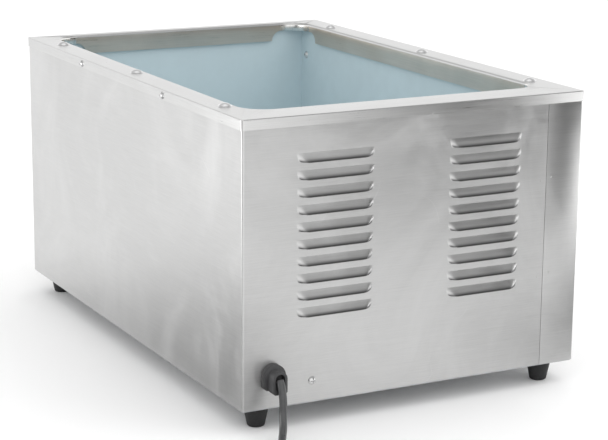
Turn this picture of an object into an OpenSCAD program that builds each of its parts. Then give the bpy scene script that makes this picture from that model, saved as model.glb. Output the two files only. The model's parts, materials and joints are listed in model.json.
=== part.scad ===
// Bench-top heated tank: an open stainless tank hung in a sheet-metal cabinet on rubber feet.
// The origin is the centre of the footprint on the standing surface, +Z up. The louvred rear
// face with the mains lead looks along +Y, and the front face with the controls along -Y.

/* [Cabinet] */
// Outside width across the two long sides
body_w = 350; // [300:1:450]
// Outside length from the front face to the rear face
body_l = 533; // [480:1:700]
// Height from the lower edge of the panels to the top of the cover
body_h = 260; // [230:1:340]
// Sheet thickness of the panels
panel_t = 1; // [0.8:0.1:1.5]
// Outside radius of the panels' vertical bends
bend_r = 2; // [1.8:0.1:3]
// Width of the panels' inward flange at the base
return_w = 15; // [13:1:18]
// Distance from a long side to the seam on the front and rear faces
seam_inset = 38; // [34:1:42]

/* [Top cover] */
// Sheet thickness of the cover
cover_t = 0.9; // [0.7:0.1:1.2]
// Gap between the cover's outer flange and the panels
cover_gap = 0.1; // [0.05:0.05:0.3]
// Height of the outer flange
flange_h = 9.5; // [9:0.5:14]
// Width of the rim at the rear
rim_rear = 38.5; // [36:0.5:60]
// Width of the rim at the front
rim_front = 13; // [13:0.5:40]
// Width of the rim along each long side
rim_side = 25; // [25:0.5:35]
// Corner radius of the opening
open_r = 25; // [18:1:40]
// Radius of the rolled edge round the opening
roll_r = 2.5; // [2:0.1:3.5]
// Depth of the skirt along the straight sides of the opening
skirt_h = 20; // [14:1:30]
// Depth of the lip round the opening's corners
lip_h = 8.5; // [4:0.5:12]

/* [Tank] */
// Depth from the top of the cover to the tank floor
tank_depth = 150; // [120:1:160]
// Sheet thickness of the tank
liner_t = 0.8; // [0.6:0.1:1.2]
// Distance from the opening's edge to the tank wall
wall_setback = 4.2; // [3.8:0.1:6]
// Thickness of the peelable film on the tank's inside
film_t = 0.2; // [0.1:0.05:0.3]

/* [Louvres] */
// Rows of louvres in each bank
louvre_rows = 10; // [4:1:10]
// Distance from one row to the next
louvre_pitch = 15.4; // [14:0.1:18]
// Length of one louvre
louvre_l = 76.5; // [50:0.5:90]
// Height of one louvre
louvre_h = 8; // [6:0.5:10]
// How far a louvre stands out of the panel
louvre_d = 4; // [3:0.25:5]
// Distance from the cover's top to the first row
louvre_drop = 33.5; // [30:0.5:60]
// Gap between the two banks
bank_gap = 77.5; // [60:0.5:90]
// Distance from the middle line to the right-hand bank
bank_x = 46; // [40:1:50]

/* [Feet and base] */
// Height of the rubber feet
foot_h = 21; // [15:1:40]
// Radius of a foot at the top
foot_r = 12.25; // [10:0.25:14]
// Radius of a foot at the bottom
foot_tip_r = 8.25; // [7.5:0.25:10]
// Distance from the cabinet's edges to the feet's centres
foot_inset = 24; // [22:1:40]
// Sheet thickness of the base plate
base_t = 1; // [0.8:0.1:2]

/* [Mains lead] */
// Diameter of the lead
cord_d = 7; // [5:0.5:8]
// Distance from the body's middle line to the gland
gland_x = 146; // [140:1:146]
// Height of the gland above the panels' lower edge
gland_z = 31; // [28:1:36]

/* [Drain valve] */
// Radius of the waterway
bore_r = 7; // [5:0.5:7.5]
// Radius of the ball
ball_r = 10; // [9.5:0.1:10.5]
// Distance from the body's middle line to the valve
valve_x = 105; // [90:1:107]
// Length of the lever
lever_l = 52; // [40:1:70]

/* [Controls] */
// Height of the controls above the panels' lower edge
control_z = 58; // [54:1:62]
// Distance from the middle line to the thermostat
dial_x = 105; // [95:1:110]
// Radius of the thermostat knob
knob_r = 22; // [18:0.5:26]
// Radius of the thermostat shaft
shaft_r = 3; // [2.5:0.1:3.5]

/* [Fits] */
// Running clearance on a radius
run_gap = 0.05; // [0.02:0.01:0.1]
// Clearance on the radius of a screw hole
hole_gap = 0.2; // [0.1:0.05:0.4]
// Clearance between a nut and its thread
thread_gap = 0.03; // [0.02:0.01:0.05]

/* [Hidden] */
$fn = 48;
eps = 0.01;

// Heights
z_base = foot_h;
z_panel = z_base + base_t;
z_top = z_panel + body_h;
z_plate = z_top - cover_t;
z_flange = z_plate - liner_t;
z_floor = z_top - tank_depth;
z_under = z_floor - liner_t;

// Outside and inside faces of the cabinet, and the strips behind its seams
side_x = body_w / 2;
end_y = body_l / 2;
in_x = side_x - panel_t;
in_y = end_y - panel_t;
seam_x = -side_x + seam_inset;
seam_gap = 0.2;
strip_half = 12;
strip_t = 1;
strip_low = 4;
strip_high = 14;
base_inset = 1.5;

// The opening, and the tank round it
open_x = side_x - rim_side;
open_y0 = -end_y - cover_gap - cover_t + rim_front;
open_y1 = end_y + cover_gap + cover_t - rim_rear;
tank_x = open_x + wall_setback;
tank_y0 = open_y0 - wall_setback;
tank_y1 = open_y1 + wall_setback;
scallop_r = 11.5;
liner_margin = 1.5;
film_low = 5;

// Louvre ends: how far they lean, the radius of their lower corners, and how much of that
// radius the lower edge cuts off
louvre_lean = 30;
louvre_round = 5.5;
louvre_clip = 0.4;

// Fasteners: M4 throughout
m4_r = 2;
m4_af = 7;
m4_nut_h = 3.2;
m4_head_r = 4;
m4_head_h = 2.4;
flange_head_r = 3.6;
dome_r = 6.5;
dome_h = 3;
short_shank = 8;
flange_shank = 7;
nut_spare = 1;
cover_screw_x = open_x + 10;
cover_screw_y = [-200, 0, 200];
flange_screw_y = [-105, 99];
flange_screw_z = z_top - 5.7;
side_screw_y = [-70, 87];
base_screw_x = side_x - return_w / 2;
base_screw_y = end_y - return_w / 2;
foot_x = side_x - foot_inset;
foot_y = end_y - foot_inset + 2.5;
foot_edge = 2;
foot_recess_r = 4.4;
foot_recess_h = 9;
bracket_inset = 12;
bracket_y = [tank_y0 + bracket_inset, tank_y1 - bracket_inset];
bracket_z = z_top - 37;
bracket_t = 1.2;
bracket_half = 10;

// Mains inlet and its fittings
gland_h = z_panel + gland_z;
collar_r = 10.4;
collar_d = 7;
collar_low = 12.3;
hood_r = 7;
hood_d = 10;
hood_low = 14;
mouth_l = 6.4;
boss_r = 8;
boss_l = 12;
gland_nut_af = 22;
gland_nut_h = 4;
shelf_x = 105;
shelf_w = 46;
shelf_z = gland_h + 17;
shelf_l = 30;
block_w = 40;
block_d = 18;
block_h = 15;
block_in = 3;
pole_pitch = 12;
pole_r = 2.2;
pole_depth = 8;
rear_screw_x = 106;
rear_screw_z = z_panel + 19.6;

// Lead: the points are counted from the rear face at the gland, and from the standing surface
coil_at = [5, 132.5];
coil_z = 1;
coil_turns_w = 3;
coil_turns_h = 2;
coil_outer = 50.5;
tie_t = 1;
tie_turn = 205;
tie_half = 2;
lead_points = [
  [0, 16, 52], [0, 19.5, 46], [0, 21.5, 40], [0, 22.5, 33], [1, 24.5, 22],
  [4, 30.5, 12], [9, 38.5, 6], [14, 48.5, 4], [24, 67.5, 4], [32, 82.5, 4], [40, 97.5, 4.5]
];
tail_points = [[12, 181.5, 11.5], [0, 187.5, 13], [-12, 193.5, 16.5], [-24, 199.5, 19]];
plug_at = [-24, 199.5, 19];
plug_turn = 153.4;
plug_relief_l = 32;
plug_body_l = 38;
plug_r = 18;

// Heating under the tank floor
spreader_t = 2;
element_r = 4;
leg_x = [25, 75];
leg_front = -140;
leg_back = 100;
leg_end = 165;
bar_y = [-90, 0, 80];
bar_stud_x = 50;
bar_t = 1.5;
z_element = z_under - spreader_t - element_r;
z_bar = z_element - element_r - bar_t;
pad_h = 12;
z_shield = z_bar - m4_nut_h - 1 - pad_h;
shield_t = 0.8;
shield_x = 135;
shield_y = 180;
shield_stud = [126, 160];
spreader_x = 100;
spreader_y = 175;
bar_x = 95;
bar_half = 9;
stud_spare = 0.6;
shield_stud_l = 5;
pin_r = 1.6;
pin_l = 12;
cutout_at = [-115, 0];
cutout_r = 8;
cutout_h = 9;
pad_x = 110;
pad_y = 175;

// Front controls
ctl_z = z_panel + control_z;
bush_r = 5;
bush_l = 5;
dial_t = 0.6;
dial_r = 30;
dial_nut_h = 2.8;
case_w = 36;
case_l = 30;
knob_gap = 0.6;
knob_l = 17.5;
knob_recess = 4.3;
knob_recess_r = 9.5;
shaft_out = 15;
sensor_x = 118;
sensor_r = 3;
bulb_y = -160;
bulb_l = 60;
dial_nut_af = 14;
knob_skirt_h = 4;
knob_step = 5;
flute_r = 1.6;
shaft_in = 9;
lamp_x = [25, 50];
lamp_r = 5;
switch_x = -20;
switch_w = 21;
switch_h = 29;
switch_t = 2;
bezel_w = 2;
switch_d = 26;
trunnion_r = 1.5;
pivot_depth = 0.5;
lamp_l = 22;
lamp_flange_w = 2;
lamp_flange_t = 1.6;
lens_r = lamp_r - 0.8;
lens_h = 6;
rocker_r = 12.2;
rocker_w = 16.4;
rocker_tilt = 10;
rocker_gap = 0.3;

// Drain
drain_z = z_panel + 53;
drain_back = 41.5;
pipe_r = 8;
pipe_t = 1.5;
pipe_bore = pipe_r - pipe_t;
pipe_bend = 18;
gasket_t = 2;
drain_nut_af = 26;
drain_nut_h = 5;
housing_r = 15;
seat_r = 11.5;
ball_at = 22;
insert_l = 10;
seat_l = 4.5;
cavity_l = 30;
spout_at = 37;
spout_r = 11;
spout_drop = 32;
spigot_r = 10;
spigot_l = 17;
stem_r = 4;
stem_tip_r = 3;
stem_spare = 6;
tongue_t = 3;
tongue_w = 6;
tongue_in = 2;
hub_r = 9;
lever_nut_af = 10;
lever_nut_h = 4.5;
sleeve_t = 2;
sleeve_from = 16;
neck_r = 9;
neck_h = 20;
lever_t = 3;
lever_w = 12;
lever_gap = 3;
lever_z = drain_z + neck_h + lever_gap;

// Reach of the rear and front fittings, which sets where the body stands in the footprint
rear_reach = collar_d + hood_d;
front_reach = spout_at + spout_r;
body_y = (front_reach - rear_reach) / 2;

function arc(cx, cy, r, a0, a1, n) =
  [for (i = [0:n]) let (a = a0 + (a1 - a0) * i / n) [cx + r * cos(a), cy + r * sin(a)]];

// Corners of a rectangle with round corners, counter-clockwise
function round_rect(x0, y0, x1, y1, r, n = 4) = concat(
  arc(x1 - r, y1 - r, r, 0, 90, n), arc(x0 + r, y1 - r, r, 90, 180, n),
  arc(x0 + r, y0 + r, r, 180, 270, n), arc(x1 - r, y0 + r, r, 270, 360, n));

function unit(v) = v / norm(v);

// Rings of a round tube along points; side is a direction that no stretch runs along
function tube_rings(points, r, side, n) = [
  for (i = [0:len(points) - 1])
    let (a = points[max(i - 1, 0)], b = points[min(i + 1, len(points) - 1)])
    let (t = unit(b - a), u = unit(cross(t, side)), v = cross(t, u))
    for (k = [0:n - 1]) points[i] + r * (cos(360 * k / n) * u + sin(360 * k / n) * v)];

module tube(points, r, side, n = 12) {
  rings = len(points);
  polyhedron(
    points = tube_rings(points, r, side, n),
    faces = concat(
      [[for (k = [0:n - 1]) k]],
      [[for (k = [n - 1:-1:0]) (rings - 1) * n + k]],
      [for (i = [0:rings - 2]) for (k = [0:n - 1])
        [i * n + k, (i + 1) * n + k, (i + 1) * n + (k + 1) % n, i * n + (k + 1) % n]]));
}

module placed() {
  translate([0, body_y, 0]) children();
}

// Copies at +x and -x
module both_sides() {
  children();
  mirror([1, 0, 0]) children();
}

module box(x0, x1, y0, y1, z0, z1) {
  translate([x0, y0, z0]) cube([x1 - x0, y1 - y0, z1 - z0]);
}

// Extrudes an outline drawn in the Y-Z plane along X
module along_x(x0, x1) {
  translate([x0, 0, 0]) rotate([90, 0, 90]) linear_extrude(x1 - x0) children();
}

// Points its children's +Z along -Y, out of the front face, at a place on that face
module on_front(x, z) {
  translate([x, -end_y, z]) rotate([90, 0, 0]) children();
}

module ring(r, hole, h) {
  difference() {
    cylinder(r = r, h = h);
    translate([0, 0, -1]) cylinder(r = hole, h = h + 2);
  }
}

module hex_nut(af, hole, h) {
  difference() {
    cylinder(r = af / 2 / cos(30), h = h, $fn = 6);
    translate([0, 0, -1]) cylinder(r = hole, h = h + 2);
  }
}

module m4_nut() {
  hex_nut(m4_af, m4_r + thread_gap, m4_nut_h);
}

// A domed head on z = 0 with a cross recess, and its shank below
module pan_screw(head_r, head_h, shank_l) {
  dome = (head_r * head_r + head_h * head_h) / 2 / head_h;
  difference() {
    intersection() {
      translate([0, 0, head_h - dome]) sphere(r = dome);
      cylinder(r = head_r, h = head_h + 1);
    }
    for (turn = [0, 90])
      rotate([0, 0, turn])
        translate([-head_r / 2, -0.45, head_h * 0.45]) cube([head_r, 0.9, head_h]);
  }
  translate([0, 0, -shank_l]) cylinder(r = m4_r, h = shank_l + 0.2);
}

// ---------------------------------------------------------------- cabinet

module base_plate() {
  color("lightgray") placed() difference() {
    box(-side_x + base_inset, side_x - base_inset, -end_y + base_inset, end_y - base_inset,
        z_base, z_panel);
    both_sides() for (y = [-foot_y, foot_y]) through_base(foot_x, y);
    both_sides() for (y = side_screw_y) through_base(base_screw_x, y);
    for (y = [-base_screw_y, base_screw_y]) through_base(0, y);
  }
}

module through_base(x, y) {
  translate([x, y, z_base - 1]) cylinder(r = m4_r + hole_gap, h = base_t + panel_t + 2);
}

// The plan outline of the panels' wall, a closed ring
module wall_outline() {
  difference() {
    polygon(round_rect(-side_x, -end_y, side_x, end_y, bend_r));
    polygon(round_rect(-in_x, -in_y, in_x, in_y, bend_r - panel_t));
  }
}

module wall_and_return() {
  translate([0, 0, z_panel]) linear_extrude(z_plate - z_panel) wall_outline();
  translate([0, 0, z_panel]) linear_extrude(panel_t) difference() {
    polygon(round_rect(-side_x, -end_y, side_x, end_y, bend_r));
    polygon([
      [-side_x + return_w, -end_y + return_w], [side_x - return_w, -end_y + return_w],
      [side_x - return_w, end_y - return_w], [-side_x + return_w, end_y - return_w]]);
  }
}

module flange_screw_holes() {
  for (y = flange_screw_y)
    translate([in_x - 1, y, flange_screw_z])
      rotate([0, 90, 0]) cylinder(r = m4_r + hole_gap, h = 6);
}

// The ends of a louvre lean in as they rise, and their lower corners are round
module louvre_ends(inset) {
  lean = louvre_lean;
  r = louvre_round - inset;
  a = r / cos(lean);
  z_mid = louvre_round - louvre_clip - louvre_h;
  out = louvre_d + 1;
  back = panel_t + 2;
  x0 = inset / cos(lean);
  x1 = louvre_l - x0;
  step = tan(lean);
  translate([0, 0, z_mid]) linear_extrude(louvre_h) polygon([
    [x0 - back * step, -back], [x1 + back * step, -back],
    [x1 - out * step, out], [x0 + out * step, out]]);
  translate([0, 0, -louvre_h - 1]) linear_extrude(louvre_h + 1) polygon([
    [x0 + a - back * step, -back], [x1 - a + back * step, -back],
    [x1 - a - out * step, out], [x0 + a + out * step, out]]);
  translate([x0 + a + 0.15, 0, z_mid]) rotate([-90, 0, -lean])
    translate([0, 0, -back / cos(lean)]) cylinder(r = r, h = (out + back) / cos(lean));
  translate([x1 - a - 0.15, 0, z_mid]) rotate([-90, 0, lean])
    translate([0, 0, -back / cos(lean)]) cylinder(r = r, h = (out + back) / cos(lean));
}

module louvre_outside() {
  intersection() {
    along_x(-2, louvre_l + 2)
      polygon([[-0.5, 0], [0, 0], [louvre_d, -louvre_h], [-0.5, -louvre_h]]);
    louvre_ends(0);
  }
}

module louvre_inside() {
  slope = norm([louvre_d, louvre_h]);
  drop = panel_t * slope / louvre_d;
  back = panel_t + 1;
  intersection() {
    along_x(-2, louvre_l + 2) polygon([
      [-back, back * louvre_h / louvre_d - drop],
      [(louvre_h - drop) * louvre_d / louvre_h, -louvre_h],
      [-back, -louvre_h]]);
    louvre_ends(panel_t);
  }
}

module louvre_places() {
  for (bank = [0, 1])
    for (row = [0:louvre_rows - 1])
      translate([
        bank_x - bank * (bank_gap + louvre_l), end_y,
        z_top - louvre_drop - row * louvre_pitch]) children();
}

module front_cutouts() {
  on_front(dial_x, ctl_z) translate([0, 0, -5]) cylinder(r = bush_r + hole_gap, h = 10);
  for (x = lamp_x)
    on_front(x, ctl_z) translate([0, 0, -5]) cylinder(r = lamp_r + hole_gap, h = 10);
  on_front(switch_x, ctl_z)
    translate([-switch_w / 2 - hole_gap, -switch_h / 2 - hole_gap, -5])
      cube([switch_w + 2 * hole_gap, switch_h + 2 * hole_gap, 10]);
  on_front(-valve_x, drain_z) translate([0, 0, -5]) cylinder(r = pipe_r + hole_gap, h = 10);
}

module rear_cutouts() {
  translate([gland_x, end_y + 5, gland_h]) rotate([90, 0, 0])
    cylinder(r = boss_r + hole_gap, h = 10);
  translate([rear_screw_x, end_y + 5, rear_screw_z]) rotate([90, 0, 0])
    cylinder(r = m4_r + hole_gap, h = 10);
}

// Front, right side and rear, bent from one sheet
module wrap_panel() {
  color("silver") placed() difference() {
    union() {
      difference() {
        wall_and_return();
        box(-side_x - 1, seam_x, -end_y - 1, end_y + 1, z_panel - 1, z_top);
      }
      louvre_places() louvre_outside();
    }
    louvre_places() louvre_inside();
    flange_screw_holes();
    for (y = side_screw_y) through_base(base_screw_x, y);
    for (y = [-base_screw_y, base_screw_y]) through_base(0, y);
    front_cutouts();
    rear_cutouts();
  }
}

// Left side, with a narrow return round each corner up to the seams
module side_panel() {
  color("silver") placed() difference() {
    wall_and_return();
    box(seam_x - seam_gap, side_x + 1, -end_y - 1, end_y + 1, z_panel - 1, z_top);
    mirror([1, 0, 0]) flange_screw_holes();
    for (y = side_screw_y) through_base(-base_screw_x, y);
  }
}

// Strips spot-welded behind the two seams
module seam_strips() {
  color("gray") placed() for (side = [-1, 1])
    box(seam_x - strip_half, seam_x + strip_half, min(side * in_y, side * (in_y - strip_t)),
        max(side * in_y, side * (in_y - strip_t)), z_panel + strip_low, z_top - strip_high);
}

// ---------------------------------------------------------------- top cover

// Sweeps an outline round a rectangle with round corners; its x counts outward from the edge
module swept_edge(x0, y0, x1, y1, r) {
  for (corner = [[x1 - r, y1 - r, 0], [x0 + r, y1 - r, 90], [x0 + r, y0 + r, 180],
                 [x1 - r, y0 + r, 270]])
    translate([corner[0], corner[1], 0]) rotate([0, 0, corner[2]])
      rotate_extrude(angle = 90) translate([r, 0]) children();
  for (run = [[x1, y0 + r, 0, y1 - y0], [x1 - r, y1, 90, x1 - x0],
              [x0, y1 - r, 180, y1 - y0], [x0 + r, y0, 270, x1 - x0]])
    translate([run[0], run[1], 0]) rotate([0, 0, run[2]]) translate([0, run[3] - 2 * r, 0])
      rotate([90, 0, 0]) linear_extrude(run[3] - 2 * r) children();
}

// The rolled edge and the lip under it, from the opening outward
module lip_outline() {
  polygon(concat(
    arc(roll_r, z_top - roll_r, roll_r, 90, 180, 4),
    [[0, z_top - lip_h], [cover_t, z_top - lip_h]],
    arc(roll_r, z_top - roll_r, roll_r - cover_t, 180, 90, 4)));
}

module cover_plate() {
  x = side_x + cover_gap + cover_t;
  y = end_y + cover_gap + cover_t;
  difference() {
    translate([0, 0, z_top - flange_h]) linear_extrude(flange_h)
      polygon(round_rect(-x, -y, x, y, bend_r + cover_gap + cover_t));
    translate([0, 0, z_top - flange_h - 1]) linear_extrude(flange_h + 1 - cover_t)
      polygon(round_rect(-x + cover_t, -y + cover_t, x - cover_t, y - cover_t,
                         bend_r + cover_gap));
    translate([0, 0, z_plate - 1]) linear_extrude(cover_t + 2)
      polygon(round_rect(-open_x - roll_r, open_y0 - roll_r, open_x + roll_r,
                         open_y1 + roll_r, open_r + roll_r, 12));
    bevel(x, y);
  }
}

// Softens the top outside edge of the cover
module bevel(x, y) {
  c = 0.7;
  for (turn = [0, 180]) {
    rotate([0, 0, turn]) translate([x, 0, z_top]) rotate([0, 45, 0])
      cube([2 * c * cos(45), 2 * y + 2, 2 * c * cos(45)], center = true);
    rotate([0, 0, turn]) translate([0, y, z_top]) rotate([45, 0, 0])
      cube([2 * x + 2, 2 * c * cos(45), 2 * c * cos(45)], center = true);
  }
}

// One straight apron of the skirt, its lower corners cut by a concave curve
module apron(half) {
  difference() {
    box(-half, half, 0, cover_t, z_top - skirt_h, z_top - lip_h + eps);
    for (side = [-1, 1])
      translate([side * half, -1, z_top - skirt_h]) rotate([-90, 0, 0])
        cylinder(r = scallop_r, h = cover_t + 2);
  }
}

module top_cover() {
  mid_y = (open_y0 + open_y1) / 2;
  half_x = open_x - open_r;
  half_y = (open_y1 - open_y0) / 2 - open_r;
  color("gainsboro") placed() difference() {
    union() {
      cover_plate();
      swept_edge(-open_x, open_y0, open_x, open_y1, open_r, $fn = 96) lip_outline();
      translate([0, open_y1, 0]) apron(half_x);
      translate([0, open_y0, 0]) rotate([0, 0, 180]) apron(half_x);
      translate([open_x, mid_y, 0]) rotate([0, 0, -90]) apron(half_y);
      translate([-open_x, mid_y, 0]) rotate([0, 0, 90]) apron(half_y);
    }
    both_sides() for (y = cover_screw_y)
      translate([cover_screw_x, y, z_plate - 1])
        cylinder(r = m4_r + hole_gap, h = cover_t + 2);
    both_sides() flange_screw_holes();
  }
}

module cover_screws() {
  color("white") placed() both_sides() for (y = cover_screw_y)
    translate([cover_screw_x, y, z_top]) {
      dome = (dome_r * dome_r + dome_h * dome_h) / 2 / dome_h;
      intersection() {
        translate([0, 0, dome_h - dome]) sphere(r = dome);
        cylinder(r = dome_r + 1, h = dome_h + 1);
      }
      translate([0, 0, -short_shank]) cylinder(r = m4_r, h = short_shank + 0.2);
    }
}

module flange_screws() {
  color("white") placed() both_sides() for (y = flange_screw_y)
    translate([side_x + cover_gap + cover_t, y, flange_screw_z]) rotate([0, 90, 0])
      pan_screw(flange_head_r, m4_head_h, flange_shank);
}

// ---------------------------------------------------------------- tank

module tank_space(grow, z0, z1) {
  box(-tank_x - grow, tank_x + grow, tank_y0 - grow, tank_y1 + grow, z0, z1);
}

module drain_hole(r) {
  translate([-valve_x, -end_y + drain_back, z_under - 1]) cylinder(r = r, h = 4);
}

module bracket_places() {
  both_sides() for (y = bracket_y) translate([tank_x, y, bracket_z]) children();
}

module bracket_holes() {
  bracket_places() translate([-2, 0, 0]) rotate([0, 90, 0])
    cylinder(r = m4_r + hole_gap, h = 6);
}

module liner() {
  color("lightsteelblue") placed() difference() {
    union() {
      tank_space(liner_t, z_under, z_flange + eps);
      box(-in_x + liner_margin, in_x - liner_margin, -in_y + liner_margin,
          in_y - liner_margin, z_flange, z_plate);
    }
    tank_space(0, z_floor, z_top);
    drain_hole(pipe_bore);
    bracket_holes();
    both_sides() for (y = cover_screw_y)
      translate([cover_screw_x, y, z_flange - 1])
        cylinder(r = m4_r + hole_gap, h = liner_t + 2);
  }
}

module protective_film() {
  color("lightblue") placed() difference() {
    tank_space(0, z_floor, z_flange - film_low);
    tank_space(-film_t, z_floor + film_t, z_top);
    drain_hole(bore_r + 1);
    bracket_holes();
  }
}

module liner_brackets() {
  color("gray") placed() bracket_places() translate([liner_t, 0, 0]) difference() {
    gap = in_x - tank_x - liner_t;
    union() {
      box(0, bracket_t, -bracket_half, bracket_half, -bracket_half, bracket_half);
      box(0, gap, bracket_half - bracket_t, bracket_half, -bracket_half, bracket_half);
      box(gap - bracket_t, gap, -bracket_half, bracket_half, -bracket_half, bracket_half);
    }
    translate([-1, 0, 0]) rotate([0, 90, 0]) cylinder(r = m4_r + hole_gap, h = 4);
  }
}

module liner_screws() {
  color("white") placed() bracket_places() translate([-film_t, 0, 0]) rotate([0, -90, 0])
    pan_screw(m4_head_r, m4_head_h, short_shank);
}

// ---------------------------------------------------------------- base fasteners and feet

module base_screws() {
  color("silver") placed() {
    both_sides() for (y = side_screw_y) base_screw(base_screw_x, y);
    for (y = [-base_screw_y, base_screw_y]) base_screw(0, y);
  }
}

module base_screw(x, y) {
  translate([x, y, z_base]) mirror([0, 0, 1])
    pan_screw(m4_head_r, m4_head_h, base_t + panel_t + m4_nut_h + nut_spare);
}

module rear_screw() {
  color("silver") placed() translate([rear_screw_x, end_y, rear_screw_z])
    rotate([-90, 0, 0]) pan_screw(m4_head_r, m4_head_h, short_shank);
}

// Every M4 nut of the cabinet, one solid each
module m4_nuts() {
  color("darkgray") placed() {
    both_sides() for (y = cover_screw_y)
      translate([cover_screw_x, y, z_flange - m4_nut_h]) m4_nut();
    both_sides() for (y = flange_screw_y)
      translate([in_x - m4_nut_h, y, flange_screw_z]) rotate([0, 90, 0]) m4_nut();
    bracket_places() translate([liner_t + bracket_t, 0, 0]) rotate([0, 90, 0]) m4_nut();
    both_sides() for (y = side_screw_y)
      translate([base_screw_x, y, z_panel + panel_t]) m4_nut();
    for (y = [-base_screw_y, base_screw_y])
      translate([0, y, z_panel + panel_t]) m4_nut();
    both_sides() for (y = [-foot_y, foot_y]) translate([foot_x, y, z_panel]) m4_nut();
    translate([rear_screw_x, in_y - bracket_t, rear_screw_z]) rotate([90, 0, 0]) m4_nut();
    both_sides() for (y = bar_y)
      translate([bar_stud_x, y, z_bar - m4_nut_h]) m4_nut();
    both_sides() for (side = [-1, 1])
      translate([shield_stud[0], side * shield_stud[1], z_shield - shield_t - m4_nut_h])
        m4_nut();
  }
}

module foot(x, y) {
  color("dimgray") placed() translate([x, y, 0]) rotate_extrude() polygon(concat(
    [[m4_r + hole_gap, foot_h], [m4_r + hole_gap, foot_recess_h],
     [foot_recess_r, foot_recess_h], [foot_recess_r, 0]],
    arc(foot_tip_r - foot_edge, foot_edge, foot_edge, -90, 0, 4),
    [[foot_r, foot_h]]));
}

module foot_screws() {
  color("silver") placed() both_sides() for (y = [-foot_y, foot_y])
    translate([foot_x, y, foot_recess_h]) mirror([0, 0, 1])
      pan_screw(m4_head_r, m4_head_h,
                foot_h - foot_recess_h + base_t + m4_nut_h + nut_spare);
}

// ---------------------------------------------------------------- mains lead and inlet

// Round at the top, straight at the sides and flat at the bottom, looking along -Y
module gland_block(r, low, y0, y1) {
  translate([gland_x, y1, gland_h]) rotate([90, 0, 0]) linear_extrude(y1 - y0)
    polygon(concat(arc(0, 0, r, 0, 180, 16),
      [[-r, 2 - low], [2 - r, -low], [r - 2, -low], [r, 2 - low]]));
}

// The lead passes through the boss and leaves by the hood's oval mouth, turning down
module gland() {
  channel = cord_d / 2 + 1.1;
  color("dimgray") placed() difference() {
    union() {
      gland_block(collar_r, collar_low, end_y, end_y + collar_d);
      gland_block(hood_r, hood_low, end_y + collar_d - eps, end_y + rear_reach);
      translate([gland_x, end_y, gland_h]) rotate([90, 0, 0])
        cylinder(r = boss_r, h = boss_l);
    }
    translate([gland_x, end_y + 4, gland_h]) rotate([90, 0, 0])
      cylinder(r = cord_d / 2, h = boss_l + 5);
    translate([gland_x, end_y + rear_reach + 1, gland_h]) rotate([90, 0, 0])
      cylinder(r = channel, h = hood_d - 3);
    translate([gland_x, end_y + rear_reach + 1, gland_h - mouth_l]) rotate([90, 0, 0])
      cylinder(r = channel, h = 5);
    box(gland_x - channel, gland_x + channel, end_y + rear_reach - 4, end_y + rear_reach + 1,
        gland_h - mouth_l, gland_h);
  }
}

module gland_nut() {
  color("dimgray") placed() translate([gland_x, in_y, gland_h]) rotate([90, 0, 0])
    hex_nut(gland_nut_af, boss_r + thread_gap, gland_nut_h);
}

module from_gland() {
  placed() translate([gland_x, end_y, 0]) children();
}

module cord_lead() {
  color("gray") from_gland() tube(lead_points, cord_d / 2, [-0.88, 0.47, 0]);
}

// The wound part of the lead, as the outer shape of its turns
module cord_coil() {
  color("gray") from_gland() translate([coil_at[0], coil_at[1], coil_z]) rotate_extrude($fn = 96)
    translate([coil_outer - coil_turns_w * cord_d, 0])
      square([coil_turns_w * cord_d, coil_turns_h * cord_d]);
}

module cord_tail() {
  color("gray") from_gland() tube(tail_points, cord_d / 2, [0, 0, 1]);
}

module coil_tie() {
  w = coil_turns_w * cord_d;
  h = coil_turns_h * cord_d;
  color("black") from_gland() translate([coil_at[0], coil_at[1], 0]) rotate([0, 0, tie_turn])
    difference() {
      box(coil_outer - w - tie_t, coil_outer + tie_t, -tie_half, tie_half, 0, h + 2 * tie_t);
      box(coil_outer - w - 0.1, coil_outer + 0.1, -tie_half - 1, tie_half + 1, tie_t, tie_t + h);
    }
}

module plug_frame() {
  from_gland() translate(plug_at) rotate([0, 0, plug_turn]) rotate([0, 90, 0]) children();
}

// Tapered relief, grip and round face with a flat-sided waist
module plug() {
  z1 = plug_relief_l;
  z2 = plug_relief_l + plug_body_l;
  color("black") plug_frame() difference() {
    rotate_extrude() polygon([
      [0, 0], [cord_d / 2 + 0.8, 0], [6.5, z1], [10, z1 + 4], [11.5, z1 + 14], [15, z1 + 24],
      [plug_r, z2 - 10], [plug_r, z2], [0, z2]]);
    for (side = [-1, 1])
      translate([0, side * plug_r, z2 - 8]) cube([6, 4, 20], center = true);
  }
}

module plug_pins() {
  color("gold") plug_frame() for (side = [-1, 1])
    translate([0, side * 9.5, plug_relief_l + plug_body_l]) {
      cylinder(r = 2.4, h = 17);
      translate([0, 0, 17]) cylinder(r1 = 2.4, r2 = 1.4, h = 2);
    }
}

module terminal_bracket() {
  color("silver") placed() difference() {
    union() {
      box(shelf_x - shelf_w / 2, shelf_x + shelf_w / 2, in_y - bracket_t, in_y,
          rear_screw_z - 8, shelf_z);
      box(shelf_x - shelf_w / 2, shelf_x + shelf_w / 2, in_y - shelf_l, in_y,
          shelf_z - bracket_t, shelf_z);
    }
    translate([rear_screw_x, in_y + 1, rear_screw_z]) rotate([90, 0, 0])
      cylinder(r = m4_r + hole_gap, h = 5);
  }
}

module terminal_block() {
  color("ivory") placed() difference() {
    box(shelf_x - block_w / 2, shelf_x + block_w / 2, in_y - shelf_l + block_in,
        in_y - shelf_l + block_in + block_d, shelf_z, shelf_z + block_h);
    for (pole = [-1:1])
      translate([shelf_x + pole * pole_pitch, in_y - shelf_l + block_in + block_d / 2,
                 shelf_z + block_h - pole_depth]) cylinder(r = pole_r, h = pole_depth + 2);
  }
}

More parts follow.
